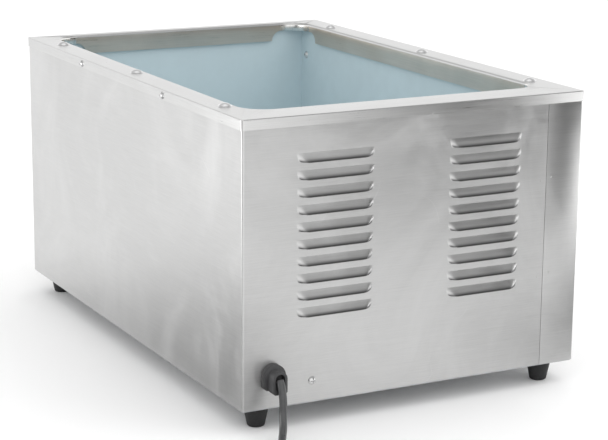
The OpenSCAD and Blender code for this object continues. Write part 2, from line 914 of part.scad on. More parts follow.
// The lead's end and the single wires between the terminals, the front and the element
module wiring_loom() {
  back = in_y - shelf_l;
  front = -in_y;
  wire_r = 1.2;
  pole_z = shelf_z + block_h / 3;
  leg = leg_x[1];
  pin_y = leg_end + pin_l + 0.8;
  color("firebrick") placed() {
    tube([[gland_x, end_y - boss_l - 0.5, gland_h], [gland_x, in_y - 19.5, gland_h + 2],
          [gland_x - 1, in_y - 27.5, gland_h + 9], [gland_x - 5, in_y - 28.5, gland_h + 18],
          [gland_x - 12, in_y - 24.5, gland_h + 23],
          [shelf_x + block_w / 2 + 0.5, in_y - 21.5, gland_h + 24]],
         cord_d / 2, [0.8, 0.6, 0], 10);
    tube([[shelf_x - pole_pitch, back + 2.5, pole_z], [91, back - 20.5, shelf_z],
          [80, back - 45.5, 55], [60, 100, 40], [20, -100, 40], [-8, front + 65.5, 45],
          [switch_x, front + 37.5, 70], [switch_x, front + 29.5, ctl_z - 2]],
         wire_r, [1, 0, 0], 6);
    tube([[shelf_x, back + 2.5, pole_z], [105, back - 21.5, shelf_z], [102, back - 45.5, 50],
          [98, 60, 40], [98, -150, 40], [100, front + 50.5, 60], [100, front + 34.5, ctl_z - 5]],
         wire_r, [1, 0, 0], 6);
    tube([[shelf_x + pole_pitch, back + 2.5, pole_z], [118, back - 21.5, shelf_z + 6],
          [117, 196, 100], [98, 188, 118], [leg + 3, 184, 124], [leg, pin_y, z_element]],
         wire_r, [1, 0, 0], 6);
    tube([[110, front + 34.5, 70], [116, front + 53.5, 60], [60, -100, 50], [-40, 80, 50],
          [-90, 180, 80], [-82, 190, 112], [-leg - 1, 184, 123], [-leg, pin_y, z_element]],
         wire_r, [1, 0, 0], 6);
  }
}

// ---------------------------------------------------------------- heating

module stud_holes(r) {
  both_sides() for (y = bar_y)
    translate([bar_stud_x, y, z_shield - 20]) cylinder(r = r, h = 60);
}

module heat_spreader() {
  color("gainsboro") placed() difference() {
    box(-spreader_x, spreader_x, -spreader_y, spreader_y, z_under - spreader_t, z_under);
    stud_holes(m4_r + hole_gap);
  }
}

module straight_leg(x, y0, y1) {
  translate([x, y1, z_element]) rotate([90, 0, 0]) cylinder(r = element_r, h = y1 - y0);
}

module half_bend(x, y, r, turn) {
  translate([x, y, z_element]) rotate([0, 0, turn]) rotate_extrude(angle = 180)
    translate([r, 0]) circle(r = element_r);
}

// One rod bent into four legs, with a terminal pin at each end
module heater_element() {
  bend = (leg_x[1] - leg_x[0]) / 2;
  color("peru") placed() {
    half_bend(0, leg_back, leg_x[0], 0);
    both_sides() {
      straight_leg(leg_x[0], leg_front, leg_back);
      straight_leg(leg_x[1], leg_front, leg_end);
      half_bend(leg_x[0] + bend, leg_front, bend, 180);
      translate([leg_x[1], leg_end + pin_l, z_element]) rotate([90, 0, 0])
        cylinder(r = pin_r, h = pin_l);
    }
  }
}

module clamp_bars() {
  color("silver") placed() difference() {
    for (y = bar_y) box(-bar_x, bar_x, y - bar_half, y + bar_half, z_bar, z_bar + bar_t);
    stud_holes(m4_r + hole_gap);
  }
}

// Studs welded under the tank floor: short ones for the bars, long ones for the shield
module weld_studs() {
  color("darkgray") placed() both_sides() {
    for (y = bar_y) translate([bar_stud_x, y, z_bar - m4_nut_h - stud_spare])
      cylinder(r = m4_r, h = z_under - z_bar + m4_nut_h + stud_spare);
    for (side = [-1, 1])
      translate([shield_stud[0], side * shield_stud[1], z_shield - shield_t - shield_stud_l])
        cylinder(r = m4_r, h = z_under - z_shield + shield_t + shield_stud_l);
  }
}

module insulation_pad() {
  color("khaki") placed() box(-pad_x, pad_x, -pad_y, pad_y, z_shield, z_shield + pad_h);
}

module heat_shield() {
  color("silver") placed() difference() {
    union() {
      box(-shield_x, shield_x, -shield_y, shield_y, z_shield - shield_t, z_shield);
      both_sides() box(pad_x + 1, pad_x + 1 + shield_t, -shield_y, shield_y,
                       z_shield - shield_t, z_shield + pad_h);
    }
    both_sides() for (side = [-1, 1])
      translate([shield_stud[0], side * shield_stud[1], z_shield - 5])
        cylinder(r = m4_r + hole_gap, h = 10);
  }
}

module safety_cutout() {
  color("black") placed() translate([cutout_at[0], cutout_at[1], z_under - cutout_h]) {
    cylinder(r = cutout_r, h = cutout_h);
    translate([-4, -cutout_r - 4, cutout_h - 1]) cube([8, 2 * cutout_r + 8, 1]);
    for (y = [-4, 4]) translate([-0.4, y - 2, -6]) cube([0.8, 4, 6]);
  }
}

// ---------------------------------------------------------------- thermostat

module thermostat() {
  color("ivory") placed() on_front(dial_x, ctl_z) difference() {
    union() {
      translate([-case_w / 2, -case_w / 2, -panel_t - case_l]) cube([case_w, case_w, case_l]);
      translate([0, 0, -panel_t - eps]) cylinder(r = bush_r, h = panel_t + bush_l + eps);
    }
    translate([0, 0, -shaft_in - 1]) cylinder(r = shaft_r + run_gap, h = shaft_in + bush_l + 2);
  }
}

module thermostat_nut() {
  color("silver") placed() on_front(dial_x, ctl_z) translate([0, 0, dial_t])
    hex_nut(dial_nut_af, bush_r + thread_gap, dial_nut_h);
}

// Bulb against the tank floor, with its fine tube down to the thermostat's case
module temperature_sensor() {
  z = z_under - sensor_r;
  bend = 8;
  tube_r = 0.9;
  y0 = -end_y + panel_t + case_l - 7;
  low = ctl_z + case_w / 2;
  color("orange") placed() {
    translate([sensor_x, bulb_y, z]) rotate([-90, 0, 0]) cylinder(r = sensor_r, h = bulb_l);
    translate([sensor_x, y0 + bend, z]) rotate([-90, 0, 0])
      cylinder(r = tube_r, h = bulb_y - y0 - bend);
    translate([sensor_x, y0 + bend, z - bend]) rotate([0, -90, 0]) rotate([0, 0, -90])
      rotate_extrude(angle = 90) translate([bend, 0]) circle(r = tube_r);
    translate([sensor_x, y0, low]) cylinder(r = tube_r, h = z - bend - low);
  }
}

module dial_plate() {
  color("white") placed() on_front(dial_x, ctl_z) ring(dial_r, bush_r + hole_gap, dial_t);
}

module dial_shaft() {
  color("silver") placed() on_front(dial_x, ctl_z) translate([0, 0, -shaft_in])
    cylinder(r = shaft_r, h = shaft_out + shaft_in);
}

module dial_knob() {
  z0 = dial_t + knob_gap;
  color("black") placed() on_front(dial_x, ctl_z) difference() {
    union() {
      translate([0, 0, z0]) cylinder(r = knob_r, h = knob_skirt_h);
      translate([0, 0, z0]) cylinder(r = knob_r - knob_step, h = knob_l);
    }
    translate([0, 0, z0 - 1]) cylinder(r = knob_recess_r, h = knob_recess + 1);
    translate([0, 0, z0]) cylinder(r = shaft_r, h = shaft_out - z0);
    for (k = [0:11]) rotate([0, 0, 30 * k + 15])
      translate([knob_r - knob_step + 0.8, 0, z0 + knob_skirt_h + 0.5])
        cylinder(r = flute_r, h = knob_l);
    translate([-0.6, knob_r - 12, z0 + knob_l - 0.8]) cube([1.2, 14, 2]);
  }
}

// ---------------------------------------------------------------- switch and lamps

module switch_body() {
  pocket = rocker_r + rocker_gap;
  color("black") placed() on_front(switch_x, ctl_z) difference() {
    union() {
      translate([-switch_w / 2 - bezel_w, -switch_h / 2 - bezel_w, 0])
        cube([switch_w + 2 * bezel_w, switch_h + 2 * bezel_w, switch_t]);
      translate([-switch_w / 2, -switch_h / 2, -switch_d])
        cube([switch_w, switch_h, switch_d + eps]);
      for (y = [-8, 0, 8]) translate([-3, y - 0.4, -switch_d - 7]) cube([6, 0.8, 8]);
    }
    translate([-rocker_w / 2 - rocker_gap, -pocket, -pocket])
      cube([rocker_w + 2 * rocker_gap, 2 * pocket, pocket + switch_t + 1]);
    translate([-switch_w / 2 + 0.4, 0, -pivot_depth]) rotate([0, 90, 0])
      cylinder(r = trunnion_r + run_gap, h = switch_w - 0.8);
  }
}

// A slice of a round bar that rocks on two trunnions, its face a shallow V
module switch_rocker() {
  color("red") placed() on_front(switch_x, ctl_z) translate([0, 0, -pivot_depth])
    rotate([rocker_tilt, 0, 0]) {
      difference() {
        translate([-rocker_w / 2, 0, 0]) rotate([0, 90, 0])
          cylinder(r = rocker_r, h = rocker_w);
        for (side = [-1, 1])
          rotate([side * rocker_tilt, 0, 0]) translate([-rocker_w, -20, 5])
            cube([2 * rocker_w, 40, 20]);
        translate([-rocker_w, -20, -26]) cube([2 * rocker_w, 40, 20]);
      }
      translate([-switch_w / 2 + 0.7, 0, 0]) rotate([0, 90, 0])
        cylinder(r = trunnion_r, h = switch_w - 1.4);
    }
}

module lamp_bodies() {
  color("black") placed() for (x = lamp_x) on_front(x, ctl_z) difference() {
    union() {
      translate([0, 0, -lamp_l]) cylinder(r = lamp_r, h = lamp_l + eps);
      cylinder(r = lamp_r + lamp_flange_w, h = lamp_flange_t);
      for (y = [-2.5, 2.5]) translate([-1.5, y - 0.4, -lamp_l - 6]) cube([3, 0.8, 7]);
    }
    translate([0, 0, -lens_h]) cylinder(r = lens_r, h = lens_h + 4);
  }
}

module lens(x) {
  sag = 2.6;
  placed() on_front(x, ctl_z) {
    translate([0, 0, -lens_h]) cylinder(r = lens_r, h = lens_h + lamp_flange_t);
    translate([0, 0, lamp_flange_t]) intersection() {
      translate([0, 0, -sag]) sphere(r = norm([lens_r, sag]));
      cylinder(r = lens_r, h = lens_h);
    }
  }
}

module power_lens() {
  color("green") lens(lamp_x[0]);
}

module heating_lens() {
  color("orange") lens(lamp_x[1]);
}

// ---------------------------------------------------------------- drain

// Down from the tank floor, round a bend and out through the front face
module drain_pipe() {
  y0 = -end_y + drain_back;
  color("silver") placed() translate([-valve_x, 0, 0]) {
    translate([0, y0, drain_z + pipe_bend])
      ring(pipe_r, pipe_bore, z_under - drain_z - pipe_bend);
    translate([0, y0 - pipe_bend, drain_z + pipe_bend]) rotate([0, 90, 0])
      rotate_extrude(angle = 90) translate([pipe_bend, 0])
        difference() {
          circle(r = pipe_r);
          circle(r = pipe_bore);
        }
    translate([0, y0 - pipe_bend, drain_z]) rotate([90, 0, 0])
      ring(pipe_r, pipe_bore, drain_back - pipe_bend + gasket_t + insert_l);
  }
}

module drain_nut() {
  color("silver") placed() on_front(-valve_x, drain_z)
    translate([0, 0, -panel_t - drain_nut_h])
      hex_nut(drain_nut_af, pipe_r + thread_gap, drain_nut_h);
}

module valve_gasket() {
  color("black") placed() on_front(-valve_x, drain_z)
    ring(housing_r, pipe_r + thread_gap, gasket_t);
}

// Turned housing with a neck for the stem and a spigot that points down
module valve_body() {
  color("gold") placed() on_front(-valve_x, drain_z) difference() {
    union() {
      translate([0, 0, gasket_t]) cylinder(r = housing_r, h = cavity_l + 2);
      translate([0, 0, cavity_l]) cylinder(r = spout_r - 1, h = spout_at - cavity_l);
      translate([0, 0, ball_at]) rotate([-90, 0, 0]) cylinder(r = neck_r, h = neck_h);
      translate([0, 0, spout_at]) rotate([90, 0, 0])
        translate([0, 0, -spout_r - 1])
          cylinder(r = spout_r, h = spout_drop - spigot_l + spout_r + 1);
      translate([0, 0, spout_at]) rotate([90, 0, 0]) cylinder(r = spigot_r, h = spout_drop);
    }
    translate([0, 0, gasket_t - 1]) cylinder(r = seat_r, h = cavity_l - gasket_t + 1);
    translate([0, 0, cavity_l - 1]) cylinder(r = bore_r, h = spout_at - cavity_l + 1);
    translate([0, 0, spout_at]) rotate([90, 0, 0])
      translate([0, 0, -bore_r]) cylinder(r = bore_r, h = spout_drop + bore_r + 1);
    translate([0, 0, ball_at]) rotate([-90, 0, 0])
      cylinder(r = stem_r + run_gap, h = neck_h + 1);
  }
}

module valve_insert() {
  color("silver") placed() on_front(-valve_x, drain_z) translate([0, 0, gasket_t])
    ring(seat_r, pipe_r + thread_gap, insert_l);
}

module valve_seats() {
  color("white") placed() on_front(-valve_x, drain_z) difference() {
    for (z = [gasket_t + insert_l, cavity_l - seat_l]) translate([0, 0, z])
      ring(seat_r, bore_r, seat_l);
    translate([0, 0, ball_at]) sphere(r = ball_r + run_gap);
  }
}

// Shut at rest: the bore lies across the flow, and the slot on top takes the stem
module valve_ball() {
  color("white") placed() on_front(-valve_x, drain_z) translate([0, 0, ball_at])
    difference() {
      rotate([0, 90, 0]) rotate_extrude() difference() {
        circle(r = ball_r);
        translate([-ball_r - 1, -ball_r - 1]) square([ball_r + 1 + pipe_bore, 2 * ball_r + 2]);
      }
      translate([-tongue_t / 2, ball_r - tongue_in, -tongue_w / 2])
        cube([tongue_t, tongue_in + 2, tongue_w]);
    }
}

// A tongue below drives the ball, and the lever sits on the thinner end above
module valve_stem() {
  color("silver") placed() on_front(-valve_x, drain_z) translate([0, 0, ball_at]) {
    rotate([-90, 0, 0]) {
      translate([0, 0, seat_r]) cylinder(r = stem_r, h = neck_h + lever_gap - seat_r);
      translate([0, 0, neck_h + lever_gap]) cylinder(r = stem_tip_r, h = lever_t + stem_spare);
    }
    translate([-tongue_t / 2, ball_r - tongue_in, -tongue_w / 2])
      cube([tongue_t, seat_r - ball_r + tongue_in + eps, tongue_w]);
  }
}

module lever_frame() {
  placed() translate([-valve_x, -end_y - ball_at, lever_z]) children();
}

module valve_lever() {
  color("silver") lever_frame() difference() {
    union() {
      cylinder(r = hub_r, h = lever_t);
      box(0, lever_l, -lever_w / 2, lever_w / 2, 0, lever_t);
    }
    translate([0, 0, -1]) cylinder(r = stem_tip_r + thread_gap, h = lever_t + 2);
  }
}

module lever_sleeve() {
  color("red") lever_frame() difference() {
    box(sleeve_from, lever_l + sleeve_t, -lever_w / 2 - sleeve_t, lever_w / 2 + sleeve_t,
        -sleeve_t, lever_t + sleeve_t);
    box(sleeve_from - 1, lever_l, -lever_w / 2, lever_w / 2, 0, lever_t);
  }
}

module lever_nut() {
  color("silver") lever_frame() translate([0, 0, lever_t])
    hex_nut(lever_nut_af, stem_tip_r + thread_gap, lever_nut_h);
}

base_plate();
wrap_panel();
side_panel();
seam_strips();
top_cover();
liner();
protective_film();
liner_brackets();
liner_screws();
cover_screws();
flange_screws();
base_screws();
rear_screw();
m4_nuts();
foot(-foot_x, -foot_y);  // foot_front_left
foot(foot_x, -foot_y);  // foot_front_right
foot(-foot_x, foot_y);  // foot_rear_left
foot(foot_x, foot_y);  // foot_rear_right
foot_screws();
gland();
gland_nut();
cord_lead();
cord_coil();
cord_tail();
coil_tie();
plug();
plug_pins();
terminal_bracket();
terminal_block();
wiring_loom();
heat_spreader();
heater_element();
clamp_bars();
weld_studs();
insulation_pad();
heat_shield();
thermostat();
thermostat_nut();
temperature_sensor();
safety_cutout();
dial_plate();
dial_shaft();
dial_knob();
switch_body();
switch_rocker();
lamp_bodies();
power_lens();
heating_lens();
drain_pipe();
drain_nut();
valve_gasket();
valve_body();
valve_insert();
valve_seats();
valve_ball();
valve_stem();
valve_lever();
lever_sleeve();
lever_nut();
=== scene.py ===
"""Looks of a bench-top heated tank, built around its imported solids.

Every length is in metres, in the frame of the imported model: +Z up, +Y towards the louvred rear.
"""

import json
import logging
import math
from collections.abc import Callable
from dataclasses import dataclass, field
from enum import Enum

import bpy
from mathutils import Matrix, Vector

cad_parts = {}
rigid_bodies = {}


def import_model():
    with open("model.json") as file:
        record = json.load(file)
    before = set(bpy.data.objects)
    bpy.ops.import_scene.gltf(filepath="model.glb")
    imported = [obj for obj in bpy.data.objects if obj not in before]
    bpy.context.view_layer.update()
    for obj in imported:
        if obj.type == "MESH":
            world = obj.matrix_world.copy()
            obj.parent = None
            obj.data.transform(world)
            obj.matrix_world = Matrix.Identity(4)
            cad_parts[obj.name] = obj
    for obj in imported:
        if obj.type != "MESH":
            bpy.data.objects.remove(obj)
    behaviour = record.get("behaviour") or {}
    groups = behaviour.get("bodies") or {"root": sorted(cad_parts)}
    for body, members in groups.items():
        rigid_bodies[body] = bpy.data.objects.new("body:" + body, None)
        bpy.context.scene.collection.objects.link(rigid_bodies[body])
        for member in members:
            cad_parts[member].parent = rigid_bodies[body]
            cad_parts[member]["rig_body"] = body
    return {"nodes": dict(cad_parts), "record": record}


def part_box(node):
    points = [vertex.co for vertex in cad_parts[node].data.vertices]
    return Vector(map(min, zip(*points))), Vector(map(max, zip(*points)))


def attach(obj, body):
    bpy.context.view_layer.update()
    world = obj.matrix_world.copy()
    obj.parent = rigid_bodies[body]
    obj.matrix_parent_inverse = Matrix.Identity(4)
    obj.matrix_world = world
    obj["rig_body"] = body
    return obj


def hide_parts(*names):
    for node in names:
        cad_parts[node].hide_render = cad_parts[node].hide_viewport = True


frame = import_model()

LOG = logging.getLogger("tank")
MM = 0.001
ROOT = "cabinet"
Point = tuple[float, float, float]
Colour = tuple[float, float, float]
Socket = bpy.types.NodeSocket
TOUCH = 1e-5
MERGE = 2e-6
FLAT_ANGLE = math.radians(0.4)
SMOOTH_ANGLE = math.radians(40)


# ------------------------------------------------------------------ node trees


class Sheet:
    """A node tree with short calls that add and link its nodes."""

    def __init__(self, tree: bpy.types.NodeTree) -> None:
        """Keeps the tree.

        Args:
            tree: the node tree to fill.
        """
        self.tree = tree

    def feed(self, node: bpy.types.Node, inputs: dict) -> None:
        """Sets a node's inputs, or links sockets to them.

        Args:
            node: the node.
            inputs: values or output sockets, by input name or number.
        """
        for key, value in inputs.items():
            if isinstance(value, bpy.types.NodeSocket):
                self.tree.links.new(value, node.inputs[key])
            else:
                node.inputs[key].default_value = value

    def add(self, kind: str, inputs: dict | None = None, **settings: object) -> bpy.types.Node:
        """Adds one node.

        Args:
            kind: the node's type name, without its ShaderNode prefix.
            inputs: values or output sockets, by input name or number.
            settings: properties of the node itself.

        Returns:
            The new node.
        """
        node = self.tree.nodes.new("ShaderNode" + kind)
        for key, value in settings.items():
            setattr(node, key, value)
        self.feed(node, inputs or {})
        return node

    def math(self, operation: str, a: object, b: object) -> bpy.types.NodeSocket:
        """One Math node.

        Args:
            operation: the operation's name.
            a: first value or socket.
            b: second value or socket.

        Returns:
            The result's socket.
        """
        return self.add("Math", {0: a, 1: b}, operation=operation).outputs[0]

    def times(self, a: object, b: object) -> bpy.types.NodeSocket:
        """The product of two values or sockets.

        Args:
            a: first value or socket.
            b: second value or socket.

        Returns:
            The product's socket.
        """
        return self.math("MULTIPLY", a, b)

    def blend(self, factor: object, a: object, b: object) -> bpy.types.NodeSocket:
        """Mixes two colours.

        Args:
            factor: share of the second colour, a value or socket.
            a: first colour, three or four numbers or a socket.
            b: second colour, likewise.

        Returns:
            The mixed colour's socket.
        """
        a, b = ((*c, 1.0) if isinstance(c, tuple) and len(c) == 3 else c for c in (a, b))
        return self.add("Mix", {"Factor": factor, 6: a, 7: b}, data_type="RGBA").outputs[2]

    def ramp(self, value: object, low: float, high: float, to_low: float = 0.0,
             to_high: float = 1.0) -> bpy.types.NodeSocket:
        """Maps a value from one range to another, clamped.

        Args:
            value: the socket to map.
            low: start of the first range.
            high: end of the first range.
            to_low: result at low.
            to_high: result at high.

        Returns:
            The mapped value's socket.
        """
        return self.add("MapRange", {0: value, 1: low, 2: high, 3: to_low, 4: to_high}).outputs[0]

    def noise(self, vector: bpy.types.NodeSocket, scale: object, detail: float = 2.0,
              roughness: float = 0.5, distortion: float = 0.0) -> bpy.types.Node:
        """A noise texture.

        Args:
            vector: the coordinates it reads.
            scale: its fineness, a value or socket.
            detail: how many finer layers it has.
            roughness: the share of the finer layers.
            distortion: how far it is warped.

        Returns:
            The texture node.
        """
        return self.add("TexNoise", {"Vector": vector, "Scale": scale, "Detail": detail,
                                     "Roughness": roughness, "Distortion": distortion})

    def upward(self) -> bpy.types.NodeSocket:
        """How far the surface faces up, from -1 to 1."""
        normal = self.add("NewGeometry").outputs["Normal"]
        return self.add("SeparateXYZ", {0: normal}).outputs["Z"]


class Effect(Enum):
    """The shader groups that several finishes share, each with the name of its second input."""

    BRUSHING = "Fineness"
    SMEARS = "Smear scale"
    SCRATCHES = "Scratch scale"
    DUST = "Amount"
    GRAIN = "Grain scale"


class Effects:
    """Builds each shared node group once and places it in materials."""

    flat_from = 0.7
    along_lines = 0.02

    def __init__(self) -> None:
        """Builds every group."""
        self.groups = {
            Effect.BRUSHING: self._group(Effect.BRUSHING, self._brushing, "Tone", "Height"),
            Effect.SMEARS: self._group(Effect.SMEARS, self._smears, "Mask"),
            Effect.SCRATCHES: self._group(Effect.SCRATCHES, self._scratches, "Mask"),
            Effect.DUST: self._group(Effect.DUST, self._dust, "Mask"),
            Effect.GRAIN: self._group(Effect.GRAIN, self._grain, "Height", "Tone"),
        }

    @staticmethod
    def _group(effect: Effect, fill: Callable, *outputs: str) -> bpy.types.NodeTree:
        """Makes one group with a vector and a number in, and numbers out.

        Args:
            effect: which group this is.
            fill: takes the sheet and both input sockets, and gives a socket for each output.
            outputs: names of the outputs, in the order that fill gives them.

        Returns:
            The finished group.
        """
        tree = bpy.data.node_groups.new(effect.name.capitalize(), "ShaderNodeTree")
        sockets = tree.interface.new_socket
        sockets("Vector", in_out="INPUT", socket_type="NodeSocketVector")
        sockets(effect.value, in_out="INPUT", socket_type="NodeSocketFloat")
        for name in outputs:
            sockets(name, in_out="OUTPUT", socket_type="NodeSocketFloat")
        given, result = tree.nodes.new("NodeGroupInput"), tree.nodes.new("NodeGroupOutput")
        for name, socket in zip(outputs, fill(Sheet(tree), given.outputs[0], given.outputs[1])):
            tree.links.new(socket, result.inputs[name])
        return tree

    def _brushing(self, sheet: Sheet, vector: Socket, fineness: Socket) -> tuple[Socket, ...]:
        """Fine lines, level on upright faces and lengthwise on flat ones."""
        flat = sheet.math("GREATER_THAN", sheet.math("ABSOLUTE", sheet.upward(), 0.0), self.flat_from)
        stretch = self.along_lines
        upright, lying = (
            sheet.add("VectorMath", {0: vector, 1: scale}, operation="MULTIPLY").outputs[0]
            for scale in ((stretch, stretch, 1.0), (1.0, stretch, 1.0)))
        mixed = sheet.add("Mix", {"Factor": flat, 4: upright, 5: lying}, data_type="VECTOR").outputs[1]
        lines = sheet.noise(mixed, fineness, detail=5.0, roughness=0.75).outputs["Fac"]
        return lines, sheet.ramp(lines, 0.3, 0.7)

    @staticmethod
    def _smears(sheet: Sheet, vector: Socket, scale: Socket) -> tuple[Socket, ...]:
        """Soft cloudy wipe marks."""
        cloud = sheet.noise(vector, scale, detail=6.0, roughness=0.62, distortion=1.4).outputs["Fac"]
        return (sheet.ramp(cloud, 0.44, 0.74),)

    @staticmethod
    def _scratches(sheet: Sheet, vector: Socket, scale: Socket) -> tuple[Socket, ...]:
        """Sparse thin curved handling marks."""
        warp = sheet.noise(vector, 9.0).outputs["Color"]
        moved_by = (0.12, 0.12, 0.12)
        warped = sheet.add("VectorMath", {0: warp, 1: moved_by, 2: vector}, operation="MULTIPLY_ADD")
        cells = sheet.add("TexVoronoi", {"Vector": warped.outputs[0], "Scale": scale},
                          feature="DISTANCE_TO_EDGE").outputs["Distance"]
        line = sheet.ramp(cells, 0.0, 0.006, 1.0, 0.0)
        patch = sheet.noise(vector, 17.0).outputs["Fac"]
        return (sheet.times(line, sheet.ramp(patch, 0.58, 0.72)),)

    @staticmethod
    def _dust(sheet: Sheet, vector: Socket, amount: Socket) -> tuple[Socket, ...]:
        """Specks that settle on what faces up."""
        settled = sheet.ramp(sheet.upward(), 0.2, 1.0, 0.25, 1.0)
        specks = sheet.ramp(sheet.noise(vector, 900.0).outputs["Fac"], 0.6, 0.75)
        return (sheet.times(sheet.times(specks, settled), amount),)

    @staticmethod
    def _grain(sheet: Sheet, vector: Socket, scale: Socket) -> tuple[Socket, ...]:
        """Fine moulded or cast surface grain with a slow change of tone."""
        fine = sheet.noise(vector, scale, detail=3.0).outputs["Fac"]
        slow = sheet.noise(vector, 60.0, detail=4.0).outputs["Fac"]
        return fine, sheet.ramp(slow, 0.3, 0.7)


EFFECTS = Effects()


# ------------------------------------------------------------------ finishes


class Look:
    """A new material's nodes, as a finish fills them in."""

    def __init__(self, material: bpy.types.Material) -> None:
        """Opens the material.

        Args:
            material: the material, just made.
        """
        material.use_nodes = True
        self.sheet = Sheet(material.node_tree)
        self.shader = material.node_tree.nodes["Principled BSDF"]
        self.coordinates = self.sheet.add("TexCoord").outputs["Object"]

    def effect(self, effect: Effect, amount: float) -> bpy.types.NodeOutputs:
        """Puts one shared group on the object coordinates.

        Args:
            effect: which group.
            amount: the group's second input.

        Returns:
            The group's outputs.
        """
        node = self.sheet.tree.nodes.new("ShaderNodeGroup")
        node.node_tree = EFFECTS.groups[effect]
        self.sheet.feed(node, {0: self.coordinates, 1: amount})
        return node.outputs

    def noise(self, scale: float, detail: float = 2.0, distortion: float = 0.0) -> Socket:
        """Noise on the object coordinates.

        Args:
            scale: its fineness.
            detail: how many finer layers it has.
            distortion: how far it is warped.

        Returns:
            The noise's socket.
        """
        return self.sheet.noise(self.coordinates, scale, detail, distortion=distortion).outputs["Fac"]

    def give(self, inputs: dict) -> None:
        """Sets or links inputs of the material's shader.

        Args:
            inputs: values or output sockets, by input name.
        """
        self.sheet.feed(self.shader, inputs)

    def bump(self, height: Socket, strength: float, distance: float = 0.0001) -> None:
        """Feeds a height to the shader's normal.

        Args:
            height: the height socket.
            strength: the bump's strength.
            distance: the bump's depth.
        """
        inputs = {"Height": height, "Strength": strength, "Distance": distance}
        self.give({"Normal": self.sheet.add("Bump", inputs).outputs[0]})


def shaded(colour: Colour, share: float) -> Colour:
    """A colour made lighter or darker.

    Args:
        colour: the colour.
        share: what each channel is multiplied by.

    Returns:
        The new colour.
    """
    return tuple(min(1.0, channel * share) for channel in colour)


@dataclass(frozen=True)
class Finish:
    """What every finish has: a name, a record slot and a main colour."""

    name: str
    slot: str
    colour: Colour

    def material(self) -> bpy.types.Material:
        """The finish's material, built the first time it is asked for."""
        found = bpy.data.materials.get(self.name)
        if found:
            return found
        made = bpy.data.materials.new(self.name)
        self.fill(Look(made))
        made.diffuse_color = (*self.colour, 1.0)
        return made

    def fill(self, look: Look) -> None:
        """Adds the finish's own nodes; each kind of finish has its own.

        Args:
            look: the new material's nodes.
        """
        raise NotImplementedError


@dataclass(frozen=True)
class BrushedSteel(Finish):
    """Stainless sheet with fine lines, wipe marks, a few scratches, a little dust, and painted shade under
    the louvre lips.
    """

    roughness: float = 0.34
    lines: float = 900.0
    line_depth: float = 0.25
    broad_share: float = 0.2
    streak: float = 0.07
    smear: float = 0.25
    smear_scale: float = 7.0
    smear_lift: float = 1.35
    smear_roughness: float = 0.32
    scratch: float = 0.2
    scratch_scale: float = 11.0
    scratch_colour: Colour = (0.95, 0.95, 0.95)
    dust: float = 0.25
    warmth: Colour = (0.52, 0.49, 0.44)
    tint: float = 0.0
    tint_colour: Colour = (0.46, 0.38, 0.29)
    # Colour of the painted shade under each louvre lip, where the slot beneath is in shadow; the sheared edge
    # itself is dark too.
    lip_shade_colour: Colour = (0.12, 0.12, 0.12)

    def fill(self, look: Look) -> None:
        """Builds the steel; a point attribute, lip, darkens the lower part of each louvre hood: painted shade
        for the shadowed slot beneath, deepest at the dark sheared edge.

        Args:
            look: the new material's nodes.
        """
        sheet = look.sheet
        brushing = look.effect(Effect.BRUSHING, self.lines)
        broad = look.effect(Effect.BRUSHING, self.lines / 6)
        smears = look.effect(Effect.SMEARS, self.smear_scale)["Mask"]
        scratches = look.effect(Effect.SCRATCHES, self.scratch_scale)["Mask"]
        dust = look.effect(Effect.DUST, self.dust)["Mask"]
        tone = sheet.math("ADD", sheet.times(brushing["Tone"], 1.0 - self.broad_share),
                          sheet.times(broad["Tone"], self.broad_share))
        streak = sheet.ramp(tone, 0.35, 0.65)
        dark, light = (shaded(self.colour, 1.0 + change) for change in (-self.streak, self.streak))
        metal = sheet.blend(streak, dark, light)
        wiped = sheet.blend(sheet.times(smears, self.smear), metal, shaded(self.colour, self.smear_lift))
        marked = sheet.blend(sheet.times(scratches, self.scratch), wiped, self.scratch_colour)
        dusty = sheet.blend(dust, marked, self.warmth)
        if self.tint:
            heat = sheet.times(sheet.ramp(look.noise(9.0), 0.45, 0.7), self.tint)
            dusty = sheet.blend(heat, dusty, self.tint_colour)
        # Painted shade: the lip attribute blends the lower louvre hood towards the dark lip colour, standing
        # in for the slot's shadow.
        lip = sheet.add("Attribute", attribute_name="lip").outputs["Fac"]
        rough = sheet.ramp(streak, 0.0, 1.0, self.roughness - 0.04, self.roughness + 0.05)
        rough = sheet.math("ADD", rough, sheet.times(smears, self.smear_roughness * self.smear))
        look.give({"Base Color": sheet.blend(lip, dusty, self.lip_shade_colour), "Metallic": 1.0,
                   "Roughness": rough})
        look.bump(brushing["Height"], self.line_depth, 0.00006)


@dataclass(frozen=True)
class Film(Finish):
    """Pale blue peelable film, slightly wrinkled, over steel."""

    def fill(self, look: Look) -> None:
        """Builds the film.

        Args:
            look: the new material's nodes.
        """
        sheet = look.sheet
        smears = look.effect(Effect.SMEARS, 12.0)["Mask"]
        tone = look.effect(Effect.GRAIN, 700.0)["Tone"]
        pale = sheet.blend(sheet.times(smears, 0.35), self.colour, shaded(self.colour, 1.12))
        toned = sheet.blend(sheet.times(tone, 0.3), pale, shaded(self.colour, 0.93))
        look.give({"Base Color": toned, "Metallic": 0.25,
                   "Roughness": sheet.ramp(tone, 0.0, 1.0, 0.42, 0.54)})
        look.bump(look.noise(45.0, 5.0, 0.8), 0.25, 0.0006)


